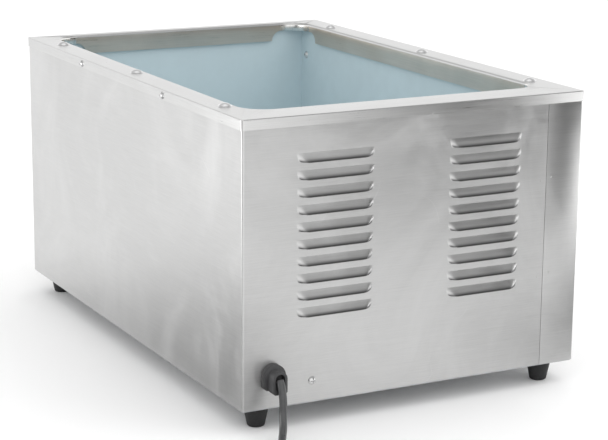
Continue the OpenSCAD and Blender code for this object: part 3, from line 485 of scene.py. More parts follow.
@dataclass(frozen=True)
class Moulded(Finish):
    """Plastic, rubber, paint or ceramic with a fine surface grain and a little dust."""

    roughness: float = 0.5
    grain: float = 1500.0
    depth: float = 0.15
    dust: float = 0.2
    coat: float = 0.0
    mottle: float = 0.12
    uneven: float = 0.06
    dust_colour: Colour = (0.36, 0.35, 0.33)

    def fill(self, look: Look) -> None:
        """Builds the moulded finish.

        Args:
            look: the new material's nodes.
        """
        sheet = look.sheet
        grain = look.effect(Effect.GRAIN, self.grain)
        dust = look.effect(Effect.DUST, self.dust)["Mask"]
        dark, light = (shaded(self.colour, 1.0 + change) for change in (-self.mottle, self.mottle))
        toned = sheet.blend(grain["Tone"], dark, light)
        smooth, dull = self.roughness - self.uneven, self.roughness + self.uneven
        rough = sheet.ramp(grain["Tone"], 0.0, 1.0, smooth, dull)
        look.give({"Base Color": sheet.blend(dust, toned, self.dust_colour), "Roughness": rough,
                   "Coat Weight": self.coat})
        look.bump(grain["Height"], self.depth)


@dataclass(frozen=True)
class Plated(Finish):
    """Bright or plated metal with a mottled tone and fine wear."""

    roughness: float = 0.25
    mottle: float = 0.15
    depth: float = 0.08
    wear: float = 0.3

    def fill(self, look: Look) -> None:
        """Builds the plated metal.

        Args:
            look: the new material's nodes.
        """
        sheet = look.sheet
        grain = look.effect(Effect.GRAIN, 1100.0)
        scratches = look.effect(Effect.SCRATCHES, 60.0)["Mask"]
        dark, light = shaded(self.colour, 1.0 - self.mottle), shaded(self.colour, 1.0 + self.mottle / 2)
        toned = sheet.blend(grain["Tone"], dark, light)
        marked = sheet.blend(sheet.times(scratches, self.wear), toned, shaded(self.colour, 1.3))
        rough = sheet.ramp(grain["Tone"], 0.0, 1.0, self.roughness + 0.08, self.roughness - 0.04)
        look.give({"Base Color": marked, "Metallic": 1.0, "Roughness": rough})
        look.bump(grain["Height"], self.depth)


@dataclass(frozen=True)
class LampLens(Finish):
    """Coloured clear plastic with fine ribs of tone."""

    def fill(self, look: Look) -> None:
        """Builds the lens.

        Args:
            look: the new material's nodes.
        """
        grain = look.effect(Effect.GRAIN, 900.0)
        toned = look.sheet.blend(grain["Tone"], shaded(self.colour, 0.8), shaded(self.colour, 1.15))
        rough = look.sheet.ramp(grain["Height"], 0.0, 1.0, 0.08, 0.2)
        look.give({"Base Color": toned, "Transmission Weight": 0.35, "IOR": 1.49, "Roughness": rough})
        look.bump(grain["Height"], 0.1)


@dataclass(frozen=True)
class Wool(Finish):
    """Needled mineral wool: matted fibres."""

    def fill(self, look: Look) -> None:
        """Builds the wool.

        Args:
            look: the new material's nodes.
        """
        sheet = look.sheet
        height = look.effect(Effect.GRAIN, 420.0)["Height"]
        fibres = look.noise(260.0, 6.0, 3.0)
        toned = sheet.blend(sheet.ramp(fibres, 0.35, 0.65), shaded(self.colour, 0.7), self.colour)
        look.give({"Base Color": toned, "Roughness": sheet.ramp(height, 0.0, 1.0, 0.85, 1.0)})
        look.bump(fibres, 0.8, 0.002)


STAINLESS = BrushedSteel("stainless_panel", "stainless", (0.56, 0.56, 0.557), lines=1400.0, smear=0.45)
COVER_STEEL = BrushedSteel("stainless_rim", "stainless_cover", (0.6, 0.6, 0.596), roughness=0.3, lines=1100.0,
                           smear=0.12, scratch=0.2)
POLISHED = BrushedSteel("polished_lip", "stainless_cover", (0.72, 0.715, 0.7), roughness=0.13,
                        line_depth=0.03, scratch=0.0, dust=0.1, smear=0.1)
SKIRT_STEEL = BrushedSteel("heat_tinted_skirt", "stainless_cover", (0.64, 0.595, 0.54), roughness=0.3,
                           smear=0.3, line_depth=0.04, scratch=0.0, dust=0.1, tint=0.35)
TANK_STEEL = BrushedSteel("tank_satin", "tank_steel", (0.6, 0.61, 0.62), roughness=0.38, scratch=0.2)
BLUE_FILM = Film("blue_film", "film", (0.585, 0.685, 0.72))
ZINC = Plated("zinc_plate", "zinc", (0.56, 0.57, 0.58), roughness=0.38)
# Cover screws: the screw steel with its base colour raised as painted light, standing in for the bright
# reflections their domes lack under this dim sky.
LIGHTENED_DOME_SCREW = Plated("dome_screw_lightened", "screw_steel", (0.86, 0.86, 0.86), roughness=0.34, mottle=0.05)
BRIGHT_SCREW = Plated("bright_screw", "screw_steel", (0.7, 0.7, 0.7), roughness=0.24, mottle=0.08)
RUBBER = Moulded("black_rubber", "rubber", (0.009, 0.009, 0.0095), roughness=0.62, grain=1000.0)
BLACK_PLASTIC = Moulded("black_moulding", "black_plastic", (0.045, 0.045, 0.047), roughness=0.42)
CORD_PVC = Moulded("lead_jacket", "cord_pvc", (0.055, 0.056, 0.058), roughness=0.33, grain=700.0, depth=0.06,
                   coat=0.35)
BRASS = Plated("brass", "brass", (0.72, 0.54, 0.25), roughness=0.22)
CERAMIC = Moulded("ceramic", "ceramic", (0.74, 0.7, 0.6), roughness=0.35, dust=0.1)
WIRE = Moulded("wire_sleeve", "wires", (0.45, 0.09, 0.06), roughness=0.5)
ALUMINIUM = Plated("aluminium", "aluminium", (0.74, 0.75, 0.76), roughness=0.4)
ELEMENT = Plated("element_sheath", "element", (0.36, 0.29, 0.24), roughness=0.45, mottle=0.4)
WOOL = Wool("mineral_wool", "insulation", (0.66, 0.62, 0.48))
DIAL_WHITE = Moulded("dial_paint", "dial_white", (0.75, 0.75, 0.73), roughness=0.35, dust=0.08, coat=0.2)
RED_PLASTIC = Moulded("rocker_red", "red_rocker", (0.5, 0.015, 0.01), roughness=0.22, coat=0.4)
GREEN_LENS = LampLens("green_lens", "green_lens", (0.06, 0.42, 0.12))
AMBER_LENS = LampLens("amber_lens", "amber_lens", (0.75, 0.32, 0.03))
PTFE = Moulded("white_seat", "ptfe", (0.82, 0.82, 0.8), roughness=0.5, dust=0.0)
CHROME = Plated("chrome_ball", "ball_chrome", (0.8, 0.8, 0.81), roughness=0.08, mottle=0.04, depth=0.02)
VALVE_STEEL = Plated("cast_steel", "valve_steel", (0.58, 0.57, 0.55), roughness=0.33, mottle=0.2)
RED_VINYL = Moulded("lever_grip", "red_vinyl", (0.42, 0.012, 0.012), roughness=0.3, coat=0.3)
PRINT_BLACK = Moulded("printed_black", "black_plastic", (0.03, 0.03, 0.03), roughness=0.5, dust=0.0)


# ------------------------------------------------------------------ modelling helpers


def activate(piece: bpy.types.Object) -> None:
    """Makes one object the only selected and active one.

    Args:
        piece: the object.
    """
    bpy.ops.object.select_all(action="DESELECT")
    piece.select_set(True)
    bpy.context.view_layer.objects.active = piece


class Editing:
    """Edit mode on one piece, with everything selected at first, as a with block."""

    def __init__(self, piece: bpy.types.Object) -> None:
        """Keeps the piece.

        Args:
            piece: the mesh object.
        """
        self.piece = piece

    def __enter__(self) -> bpy.types.Object:
        """Enters edit mode."""
        activate(self.piece)
        bpy.ops.object.mode_set(mode="EDIT")
        bpy.ops.mesh.select_all(action="SELECT")
        return self.piece

    def __exit__(self, *_: object) -> None:
        """Leaves edit mode."""
        bpy.ops.object.mode_set(mode="OBJECT")


def apply_modifiers(piece: bpy.types.Object) -> None:
    """Applies all modifiers of a piece.

    Args:
        piece: the mesh object.
    """
    activate(piece)
    for modifier in list(piece.modifiers):
        bpy.ops.object.modifier_apply(modifier=modifier.name)


def soften(piece: bpy.types.Object, width: float, segments: int = 2, angle: float = 30.0) -> None:
    """Rounds the sharp edges of a piece and shades it smoothly.

    Args:
        piece: the mesh object.
        width: the rounding's width.
        segments: faces across each rounding.
        angle: edges sharper than this many degrees are rounded.
    """
    if width > 0:
        bevel = piece.modifiers.new("soften", "BEVEL")
        bevel.width = width
        bevel.segments = segments
        bevel.limit_method = "ANGLE"
        bevel.angle_limit = math.radians(angle)
        bevel.harden_normals = False
        apply_modifiers(piece)
    activate(piece)
    bpy.ops.object.shade_smooth_by_angle(angle=SMOOTH_ANGLE)


def dress(piece: bpy.types.Object, finish: Finish, body: str = ROOT,
          nodes: tuple[str, ...] = ()) -> None:
    """Gives a piece its material, body, slot and the solids it stands for.

    Args:
        piece: the object.
        finish: its finish.
        body: the body it moves with.
        nodes: the solids it stands for.
    """
    piece.data.materials.clear()
    piece.data.materials.append(finish.material())
    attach(piece, body)
    if nodes:
        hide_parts(*nodes)


def carry(node: str, finish: Finish) -> None:
    """Keeps a solid as it is, with a better material.

    Args:
        node: the solid's name.
        finish: its finish.
    """
    for slot in frame["nodes"][node].material_slots:
        slot.material = finish.material()


def copied(node: str, name: str) -> bpy.types.Object:
    """A copy of a solid's mesh with its doubles merged and flat areas joined.

    Args:
        node: the solid's name.
        name: the new piece's name.

    Returns:
        The new object.
    """
    piece = bpy.data.objects.new(name, frame["nodes"][node].data.copy())
    bpy.context.scene.collection.objects.link(piece)
    with Editing(piece):
        bpy.ops.mesh.remove_doubles(threshold=MERGE)
        bpy.ops.mesh.customdata_custom_splitnormals_clear()
        bpy.ops.mesh.dissolve_limited(angle_limit=FLAT_ANGLE)
    return piece


def softened(node: str, name: str, finish: Finish, width: float, body: str = ROOT, segments: int = 2,
             angle: float = 30.0) -> bpy.types.Object:
    """A rounded copy that stands for a solid.

    Args:
        node: the solid's name.
        name: the new piece's name.
        finish: its finish.
        width: the rounding's width.
        body: the body it moves with.
        segments: faces across each rounding.
        angle: edges sharper than this many degrees are rounded.

    Returns:
        The new object.
    """
    piece = copied(node, name)
    soften(piece, width, segments, angle)
    dress(piece, finish, body, (node,))
    LOG.info("%s: %d faces", name, len(piece.data.polygons))
    return piece


def turned(name: str, profile: list[tuple[float, float]], steps: int = 32) -> bpy.types.Object:
    """Turns a closed solid about Z from a circle, extruded and scaled from ring to ring.

    Args:
        name: the piece's name.
        profile: radius and height of each ring, from one end to the other.
        steps: corners round the axis.

    Returns:
        The new object, about the origin.
    """
    bpy.ops.object.select_all(action="DESELECT")
    radius, height = profile[0]
    bpy.ops.mesh.primitive_circle_add(vertices=steps, radius=radius, location=(0, 0, height),
                                      fill_type="NGON")
    piece = bpy.context.active_object
    piece.name = name
    bpy.ops.object.transform_apply(location=True, rotation=True, scale=True)
    with Editing(piece):
        for next_radius, next_height in profile[1:]:
            bpy.ops.mesh.extrude_region_move(
                TRANSFORM_OT_translate={"value": (0, 0, next_height - height)})
            ratio = next_radius / radius
            bpy.ops.transform.resize(value=(ratio, ratio, 1), center_override=(0, 0, next_height))
            radius, height = next_radius, next_height
        bpy.ops.mesh.select_all(action="SELECT")
        bpy.ops.mesh.normals_make_consistent(inside=False)
    return piece


def moved(piece: bpy.types.Object, matrix: Matrix) -> bpy.types.Object:
    """Moves a piece's mesh, leaving its object at the origin.

    Args:
        piece: the mesh object.
        matrix: where it goes.

    Returns:
        The same object.
    """
    piece.data.transform(matrix)
    if matrix.determinant() < 0:
        with Editing(piece):
            bpy.ops.mesh.flip_normals()
    piece.data.update()
    return piece


def joined(pieces: list[bpy.types.Object], name: str) -> bpy.types.Object:
    """Joins several pieces into one.

    Args:
        pieces: the mesh objects.
        name: the joined piece's name.

    Returns:
        The joined object.
    """
    activate(pieces[0])
    for piece in pieces:
        piece.select_set(True)
    if len(pieces) > 1:
        bpy.ops.object.join()
    pieces[0].name = name
    return pieces[0]


def copies(piece: bpy.types.Object, places: list[Matrix], name: str) -> bpy.types.Object:
    """Copies a piece to several places and joins the copies, leaving the first out.

    Args:
        piece: the piece about the origin, used up.
        places: where the copies go.
        name: the joined piece's name.

    Returns:
        The joined object.
    """
    made = []
    for place in places:
        twin = bpy.data.objects.new(name, piece.data.copy())
        bpy.context.scene.collection.objects.link(twin)
        made.append(moved(twin, place))
    bpy.data.objects.remove(piece)
    return joined(made, name)


def toward(point: Point, axis: Point) -> Matrix:
    """A matrix that takes +Z to an axis, at a point.

    Args:
        point: where the origin goes.
        axis: where +Z goes.

    Returns:
        The matrix.
    """
    return Matrix.Translation(point) @ Vector(axis).to_track_quat("Z", "Y").to_matrix().to_4x4()


def centre_of(node: str) -> Vector:
    """The middle of a solid's box.

    Args:
        node: the solid's name.

    Returns:
        The middle point.
    """
    low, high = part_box(node)
    return (low + high) / 2


# ------------------------------------------------------------------ studio and lead


@dataclass(frozen=True)
class Card:
    """A grey or bright card that polished metal reflects, fading from one point to another."""

    name: str
    at: Point
    aim: Point
    size: tuple[float, float]
    brightness: float
    fade_from: Point = (0.0, 0.0, 0.0)
    fade_to: Point = (0.0, 0.0, 1.0)
    far_brightness: float | None = None


STUDIO_CARDS = (
    Card("flag_right", (-0.5, 0.9, 0.35), (-0.5, 0.0, 0.35), (2.0, 0.7), 1.28, (0.0, 0.9, 0.0),
         (-0.48, 0.9, 0.0), 0.0),
    Card("flag_corner", (-0.45, 0.39, 0.002), (-0.45, 0.39, -1.0), (0.7, 0.18), 0.95, (-0.12, 0.39, 0.0),
         (-0.4, 0.39, 0.0), 0.12),
    Card("flag_left", (0.85, 0.5, 0.2), (0.0, 0.5, 0.2), (0.34, 0.4), 0.08),
    Card("flag_floor", (0.42, 0.08, 0.002), (0.42, 0.08, -1.0), (0.44, 0.62), 1.0, (0.42, -0.3, 0.0),
         (0.24, 0.16, 0.0), 0.32),
    Card("softbox_right", (-0.62, 0.6, 0.13), (0.0, 0.3, 0.13), (0.26, 0.26), 2.4),
    Card("softbox_near", (0.85, -0.12, 0.2), (0.0, -0.12, 0.2), (0.45, 0.4), 3.6),
    Card("softbox_top", (0.0, -0.1, 2.4), (0.0, -0.1, 0.0), (1.7, 1.5), 1.15),
)


@dataclass
class Studio:
    """The camera, the pale floor and soft lights."""

    camera_at: Point = (0.8646, 1.7149, 0.5815)
    yaw: float = 27.6
    pitch: float = 13.64
    roll: float = 0.516
    lens: float = 113.54
    floor_size: float = 30.0
    sky_low: float = 1.25
    sky_high: float = 0.42
    sky_top: float = 1.2
    floor_tones: tuple[float, float] = (0.93, 0.96)
    key_power: float = 14.0
    overhead_angle: float = 120.0
    overhead: float = 1.7
    cards: tuple[Card, ...] = ()

    def camera(self) -> None:
        """Makes the camera and sets it as the scene's."""
        yaw, pitch, roll = (math.radians(a) for a in (self.yaw, self.pitch, self.roll))
        level = math.cos(pitch)
        ahead = Vector((-math.sin(yaw) * level, -math.cos(yaw) * level, -math.sin(pitch)))
        right = Vector((-math.cos(yaw), math.sin(yaw), 0.0))
        up = right.cross(ahead)
        turned_right = right * math.cos(roll) + up * math.sin(roll)
        turned_up = turned_right.cross(ahead)
        data = bpy.data.cameras.new("camera")
        data.lens, data.sensor_width = self.lens, 36.0
        data.clip_start, data.clip_end = 0.01, 100.0
        camera = bpy.data.objects.new("camera", data)
        bpy.context.scene.collection.objects.link(camera)
        axes = Matrix((turned_right, turned_up, -ahead)).transposed().to_4x4()
        camera.matrix_world = Matrix.Translation(self.camera_at) @ axes
        bpy.context.scene.camera = camera

    def light(self, name: str, at: Point, aim: Point, size: tuple[float, float], power: float) -> None:
        """Adds one soft rectangular light.

        Args:
            name: the light's name.
            at: where it stands.
            aim: the point it faces.
            size: its width and height.
            power: its power in watts.
        """
        data = bpy.data.lights.new(name, "AREA")
        data.shape, data.size, data.size_y, data.energy = "RECTANGLE", *size, power
        lamp = bpy.data.objects.new(name, data)
        lamp.visible_glossy = False
        bpy.context.scene.collection.objects.link(lamp)
        lamp.matrix_world = toward(at, tuple(Vector(at) - Vector(aim)))

    def card(self, card: Card) -> None:
        """Stands one card where only polished metal sees it.

        Args:
            card: its place, size and brightness.
        """
        bpy.ops.object.select_all(action="DESELECT")
        bpy.ops.mesh.primitive_plane_add(size=1.0)
        plane = bpy.context.active_object
        plane.name = card.name
        back = Vector(card.at) - Vector(card.aim)
        plane.matrix_world = toward(card.at, tuple(back)) @ Matrix.Diagonal((*card.size, 1, 1))
        plane.visible_camera = plane.visible_diffuse = plane.visible_shadow = False
        paint = bpy.data.materials.new(card.name)
        paint.use_nodes = True
        sheet = Sheet(paint.node_tree)
        strength = card.brightness
        if card.far_brightness is not None:
            way = Vector(card.fade_to) - Vector(card.fade_from)
            here = sheet.add("NewGeometry").outputs["Position"]
            offset = sheet.add("VectorMath", {0: here, 1: card.fade_from}, operation="SUBTRACT").outputs[0]
            along = sheet.add("VectorMath", {0: offset, 1: way / way.length_squared}, operation="DOT_PRODUCT")
            strength = sheet.ramp(along.outputs["Value"], 0.0, 1.0, card.brightness, card.far_brightness)
        glow = sheet.add("Emission", {"Strength": strength})
        sheet.feed(paint.node_tree.nodes["Material Output"], {"Surface": glow.outputs[0]})
        plane.data.materials.append(paint)

    def build(self) -> None:
        """Sets up the whole studio."""
        self.camera()
        scene = bpy.context.scene
        scene.view_settings.view_transform = "Standard"
        world = bpy.data.worlds.new("studio")
        world.use_nodes = True
        sheet = Sheet(world.node_tree)
        rise = sheet.add("SeparateXYZ", {0: sheet.add("TexCoord").outputs["Generated"]}).outputs["Z"]
        low = sheet.ramp(rise, 0.3, 0.66, self.sky_low, self.sky_high)
        level = sheet.times(low, sheet.ramp(rise, 0.66, 0.95, 1.0, self.sky_top))
        white = (1.0, 1.0, 1.0, 1.0)
        sheet.feed(world.node_tree.nodes["Background"], {"Strength": level, "Color": white})
        scene.world = world
        bpy.ops.object.select_all(action="DESELECT")
        bpy.ops.mesh.primitive_plane_add(size=self.floor_size, location=(0, 0, 0))
        floor = bpy.context.active_object
        floor.name = "floor"
        paint = bpy.data.materials.new("floor_paint")
        look = Look(paint)
        dark, light = ((tone, tone, tone) for tone in self.floor_tones)
        look.give({"Base Color": look.sheet.blend(look.noise(2.0), dark, light), "Roughness": 0.9})
        floor.data.materials.append(paint)
        self.light("key", (-1.4, 1.2, 2.4), (0.0, 0.0, 0.15), (2.0, 2.0), self.key_power)
        data = bpy.data.lights.new("overhead", "SUN")
        data.energy, data.angle = self.overhead, math.radians(self.overhead_angle)
        overhead = bpy.data.objects.new("overhead", data)
        overhead.visible_glossy = False
        bpy.context.scene.collection.objects.link(overhead)
        for card in self.cards:
            self.card(card)


@dataclass
class MainsLead:
    """The lead from the gland to its coil and plug, lying loose."""

    gland: Point = (0.146, 0.282, 0.0)
    diameter: float = 0.007
    length: float = 1.5
    route: tuple[Point, ...] = (
        (0.0, 0.016, 0.052), (0.0, 0.0195, 0.046), (0.0, 0.0215, 0.040), (0.0, 0.0225, 0.033),
        (0.001, 0.0245, 0.022), (0.004, 0.0305, 0.012), (0.009, 0.0385, 0.006), (0.014, 0.0485, 0.004),
        (0.024, 0.0675, 0.004), (0.032, 0.0825, 0.004), (0.040, 0.0975, 0.0045))
    tail: tuple[Point, ...] = (
        (0.012, 0.1815, 0.0115), (0.0, 0.1875, 0.013), (-0.012, 0.1935, 0.0165), (-0.024, 0.1995, 0.019))
    coil_at: tuple[float, float] = (0.005, 0.1325)
    coil_low: float = 0.0045
    columns: tuple[float, float, float] = (0.047, 0.040, 0.033)
    start_angle: float = -27.9
    sweep: float = 1890.0
    step: float = 20.0

    def turn(self, angle: float) -> tuple[float, float]:
        """Radius and height of the winding after an angle: in along one layer, up, and out again.

        Args:
            angle: degrees wound so far.

        Returns:
            The radius and the height.
        """
        def share(start: float) -> float:
            """How much of the shift that begins at start is done."""
            x = min(1.0, max(0.0, (angle - start) / 60.0))
            return x * x * (3 - 2 * x)
        inward = share(300.0) + share(660.0)
        outward = share(1260.0) + share(1620.0)
        radius = self.columns[0] - self.diameter * (inward - outward)
        return radius, self.coil_low + self.diameter * share(960.0)

    def points(self) -> list[Point]:
        """The whole centreline."""
        coil = []
        for k in range(int(self.sweep / self.step) + 1):
            wound = k * self.step if k * self.step < self.sweep else self.sweep
            radius, height = self.turn(wound)
            a = math.radians(self.start_angle + wound)
            x, y = self.coil_at
            coil.append((x + radius * math.cos(a), y + radius * math.sin(a), height))
        at_x, at_y, _ = self.gland
        return [(x + at_x, y + at_y, z) for x, y, z in (*self.route, *coil, *self.tail)]

    def build(self) -> bpy.types.Object:
        """Makes the lead's curve.

        Returns:
            The curve object.
        """
        curve = bpy.data.curves.new("lead", "CURVE")
        curve.dimensions = "3D"
        curve.bevel_depth = self.diameter / 2
        curve.bevel_resolution = 4
        curve.resolution_u = 5
        curve.use_fill_caps = True
        points = self.points()
        spline = curve.splines.new("BEZIER")
        spline.bezier_points.add(len(points) - 1)
        for knot, point in zip(spline.bezier_points, points):
            knot.co = point
            knot.handle_left_type = knot.handle_right_type = "AUTO"
        lead = bpy.data.objects.new("lead", curve)
        bpy.context.scene.collection.objects.link(lead)
        dress(lead, CORD_PVC, ROOT, ("cord_lead", "cord_coil", "cord_tail"))
        return lead

    def declare(self) -> None:
        """Works out where the lead leaves the gland, and does nothing more with it.
        """
        exit_point = tuple(a + b for a, b in zip(self.route[0], self.gland))


# ------------------------------------------------------------------ cabinet


@dataclass
class Louvre:
    """One pressed louvre: a sloping hood, closed at its rounded ends and open below."""

    length: float = 0.0765
    height: float = 0.008
    depth: float = 0.004
    corner: float = 0.0085
    below: float = 0.0018
    end_run: float = 0.0065
    bulge: float = 0.45
    bulge_power: float = 2.2

    def across(self) -> list[float]:
        """Places of the upright mesh lines, from one end, close together near both ends."""
        near = [x * MM for x in (0, 0.35, 0.7, 1.05, 1.4, 2.2, 3.3, 4.6, 6.1, 8.6, 11.0)]
        middle = [near[-1] + (self.length - 2 * near[-1]) * k / 8 for k in range(1, 8)]
        return near + middle + [self.length - x for x in reversed(near)]

    def down(self) -> list[float]:
        """Places of the level mesh lines, below the crease."""
        return [self.height * share for share in (0, 0.07, 0.2, 0.35, 0.5, 0.65, 0.8, 0.92, 1.0)]

    def out(self, along: float, drop: float) -> float:
        """How far the hood stands out.

        Args:
            along: distance from one end.
            drop: distance below the crease.

        Returns:
            The distance from the panel's face.
        """
        low_side = max(0.0, drop - (self.height + self.below - self.corner))
        edge = self.corner - math.sqrt(max(0.0, self.corner ** 2 - low_side ** 2))
        inside = min(along, self.length - along) - edge
        if min(inside, drop) <= TOUCH / 10:
            return 0.0
        share = drop / self.height
        hood = self.depth * ((1 - self.bulge) * share + self.bulge * share ** self.bulge_power)
        return hood * (1 - (1 - min(1.0, inside / self.end_run)) ** 2)


@dataclass
class WrapPanel:
    """The front, right side and louvred rear, bent from one sheet."""

    louvre: Louvre = field(default_factory=Louvre)
    bank_starts: tuple[float, float] = (-0.108, 0.046)
    rows: int = 10
    pitch: float = 0.0154
    first_crease: float = 0.2485
    thickness: float = 0.001
    bend: float = 0.002
    flange: float = 0.015
    rear: float = 0.282
    front: float = -0.251
    side: float = 0.175
    seam: float = -0.1368
    base: float = 0.0226
    top: float = 0.281
    gland_height: float = 0.053
    bezel: float = 0.0018
    # Where the painted shade under each louvre lip lies: how far out the hood must stand, the share of its
    # height where the shade begins, and how far it runs.
    lip_shade_out: float = 0.0003
    lip_shade_from: float = 0.62
    lip_shade_run: float = 0.3

    def plan(self) -> list[tuple[float, float]]:
        """The sheet's outside line in plan, from the front seam to the rear seam."""
        inner = self.side - self.bend
        line = [(self.seam, self.front), (0.0, self.front)]
        for k in range(5):
            a = math.radians(-90 + 22.5 * k)
            line.append((inner + self.bend * math.cos(a), self.front + self.bend + self.bend * math.sin(a)))
        line += [(self.side, -0.08), (self.side, 0.1)]
        for k in range(5):
            a = math.radians(22.5 * k)
            line.append((inner + self.bend * math.cos(a), self.rear - self.bend + self.bend * math.sin(a)))
        stops = {self.seam}
        for start in self.bank_starts:
            stops.update(round(start + x, 6) for x in self.louvre.across())
        line += [(x, self.rear) for x in sorted(stops, reverse=True)]
        return line

    def levels(self) -> list[float]:
        """Heights of the level mesh lines."""
        return [self.first_crease - row * self.pitch - drop
                for row in range(self.rows) for drop in self.louvre.down()]

    def sheet(self) -> bpy.types.Object:
        """The flat sheet, bent round the plan line, with a mesh line wherever a louvre needs one."""
        plan = self.plan()
        bpy.ops.object.select_all(action="DESELECT")
        bpy.ops.mesh.primitive_plane_add(size=1.0, rotation=(math.pi / 2, 0, 0))
        piece = bpy.context.active_object
        piece.name = "wrap"
        bpy.ops.object.transform_apply(location=True, rotation=True, scale=True)
        select_points(piece, lambda p: p.x > 0)
        activate(piece)
        bpy.ops.object.mode_set(mode="EDIT")
        bpy.ops.mesh.delete(type="VERT")
        bpy.ops.mesh.select_all(action="SELECT")
        height = self.top - self.base
        bpy.ops.transform.resize(value=(1, 1, height), center_override=(0, 0, 0))
        bpy.ops.transform.translate(value=(plan[0][0] + 0.5, plan[0][1], (self.top + self.base) / 2))
        for here, there in zip(plan, plan[1:]):
            step = (there[0] - here[0], there[1] - here[1], 0)
            bpy.ops.mesh.extrude_region_move(TRANSFORM_OT_translate={"value": step})
        for level in self.levels():
            bpy.ops.mesh.select_all(action="SELECT")
            bpy.ops.mesh.bisect(plane_co=(0, 0, level), plane_no=(0, 0, 1))
        bpy.ops.object.mode_set(mode="OBJECT")
        return piece

    def spot(self, point: Vector) -> tuple[float, float, float] | None:
        """Where a point of the rear face lies on a louvre.

        Args:
            point: the point.

        Returns:
            Distance along, drop below the crease and height of the crease, or None off every louvre.
        """
        if point.y < self.rear - TOUCH:
            return None
        for start in self.bank_starts:
            along = point.x - start
            if -TOUCH < along < self.louvre.length + TOUCH:
                for row in range(self.rows):
                    crease = self.first_crease - row * self.pitch
                    drop = crease - point.z
                    if -TOUCH < drop < self.louvre.height + TOUCH:
                        return along, drop, crease
        return None

    def press(self, piece: bpy.types.Object) -> None:
        """Slits the sheet below each louvre and presses the louvres out.

        Args:
            piece: the bent sheet.
        """
        mesh = piece.data
        lip = self.louvre.height
        def on_slit(a: Vector, b: Vector) -> bool:
            """Whether the edge between two points is part of a slit."""
            spots = self.spot(a), self.spot(b)
            low = all(s is not None and abs(s[1] - lip) < TOUCH for s in spots)
            return low and abs(a.z - b.z) < TOUCH / 10 and sum(self.louvre.out(s[0], lip) for s in spots) > 0
        with Editing(piece):
            bpy.ops.mesh.select_all(action="DESELECT")
            bpy.ops.mesh.select_mode(type="EDGE")
        for edge in mesh.edges:
            a, b = (mesh.vertices[i].co for i in edge.vertices)
            edge.select = on_slit(a, b)
        activate(piece)
        bpy.ops.object.mode_set(mode="EDIT")
        bpy.ops.mesh.edge_split(type="EDGE")
        bpy.ops.object.mode_set(mode="OBJECT")
        raised: dict[int, float] = {}
        for face in mesh.polygons:
            if self.spot(face.center) is not None:
                for i in face.vertices:
                    spot = self.spot(mesh.vertices[i].co)
                    if spot is not None:
                        raised[i] = self.louvre.out(spot[0], spot[1])
        for i, out in raised.items():
            mesh.vertices[i].co.y += out

    def build(self) -> bpy.types.Object:
        """Makes the whole panel.

        Returns:
            The panel.
        """
        piece = self.sheet()
        self.press(piece)
        select_points(piece, lambda p: p.z < self.base + TOUCH / 10)
        activate(piece)
        bpy.ops.object.mode_set(mode="EDIT")
        bpy.ops.mesh.select_mode(type="EDGE")
        bpy.ops.mesh.extrude_region_move(TRANSFORM_OT_translate={"value": (0, 0, 0)})
        middle = (self.rear + self.front) / 2
        half = (self.rear - self.front) / 2
        shrink = ((self.side - self.flange) / self.side, (half - self.flange) / half, 1)
        bpy.ops.transform.resize(value=shrink, center_override=(0, middle, self.base))
        bpy.ops.mesh.select_all(action="SELECT")
        bpy.ops.mesh.normals_make_consistent(inside=False)
        bpy.ops.object.mode_set(mode="OBJECT")
        rear_faces = [f for f in piece.data.polygons if f.center.y > self.rear - TOUCH]
        if sum(f.normal.y * f.area for f in rear_faces) < 0:
            with Editing(piece):
                bpy.ops.mesh.flip_normals()
        wall = piece.modifiers.new("wall", "SOLIDIFY")
        wall.thickness, wall.offset = self.thickness, -1.0
        apply_modifiers(piece)
        self.cut_holes(piece)
        soften(piece, 0.0)
        self.outline(piece)
        dress(piece, STAINLESS, ROOT, ("wrap_panel",))
        return piece

    def outline(self, piece: bpy.types.Object) -> None:
        """Keeps the flat sheet's shading flat up to each louvre, and marks the lower part of each louvre hood
        for painted shade under its sheared lip.

        Args:
            piece: the panel.
        """
        mesh = piece.data
        flat = [any(abs(abs(part) - 1) < TOUCH for part in face.normal[:2]) for face in mesh.polygons]
        sides: dict[tuple[int, int], set[bool]] = {}
        for face, level in zip(mesh.polygons, flat):
            for key in face.edge_keys:
                sides.setdefault(key, set()).add(level)
        for edge in mesh.edges:
            if len(sides.get(tuple(sorted(edge.vertices)), set())) == 2:
                edge.use_edge_sharp = True
        # Painted shade: lip rises from 0 to 1 down the lower part of each louvre hood, standing in for the
        # shadow of the slot beneath.
        lip = mesh.attributes.new("lip", "FLOAT", "POINT")
        for vertex, value in zip(mesh.vertices, lip.data):
            point = vertex.co
            for start in self.bank_starts:
                inside = start - MM < point.x < start + self.louvre.length + MM
                if inside and point.y > self.rear + self.lip_shade_out:
                    drop = (self.first_crease - point.z) % self.pitch
                    share = (drop / self.louvre.height - self.lip_shade_from) / self.lip_shade_run
                    value.value = max(0.0, min(1.0, share))

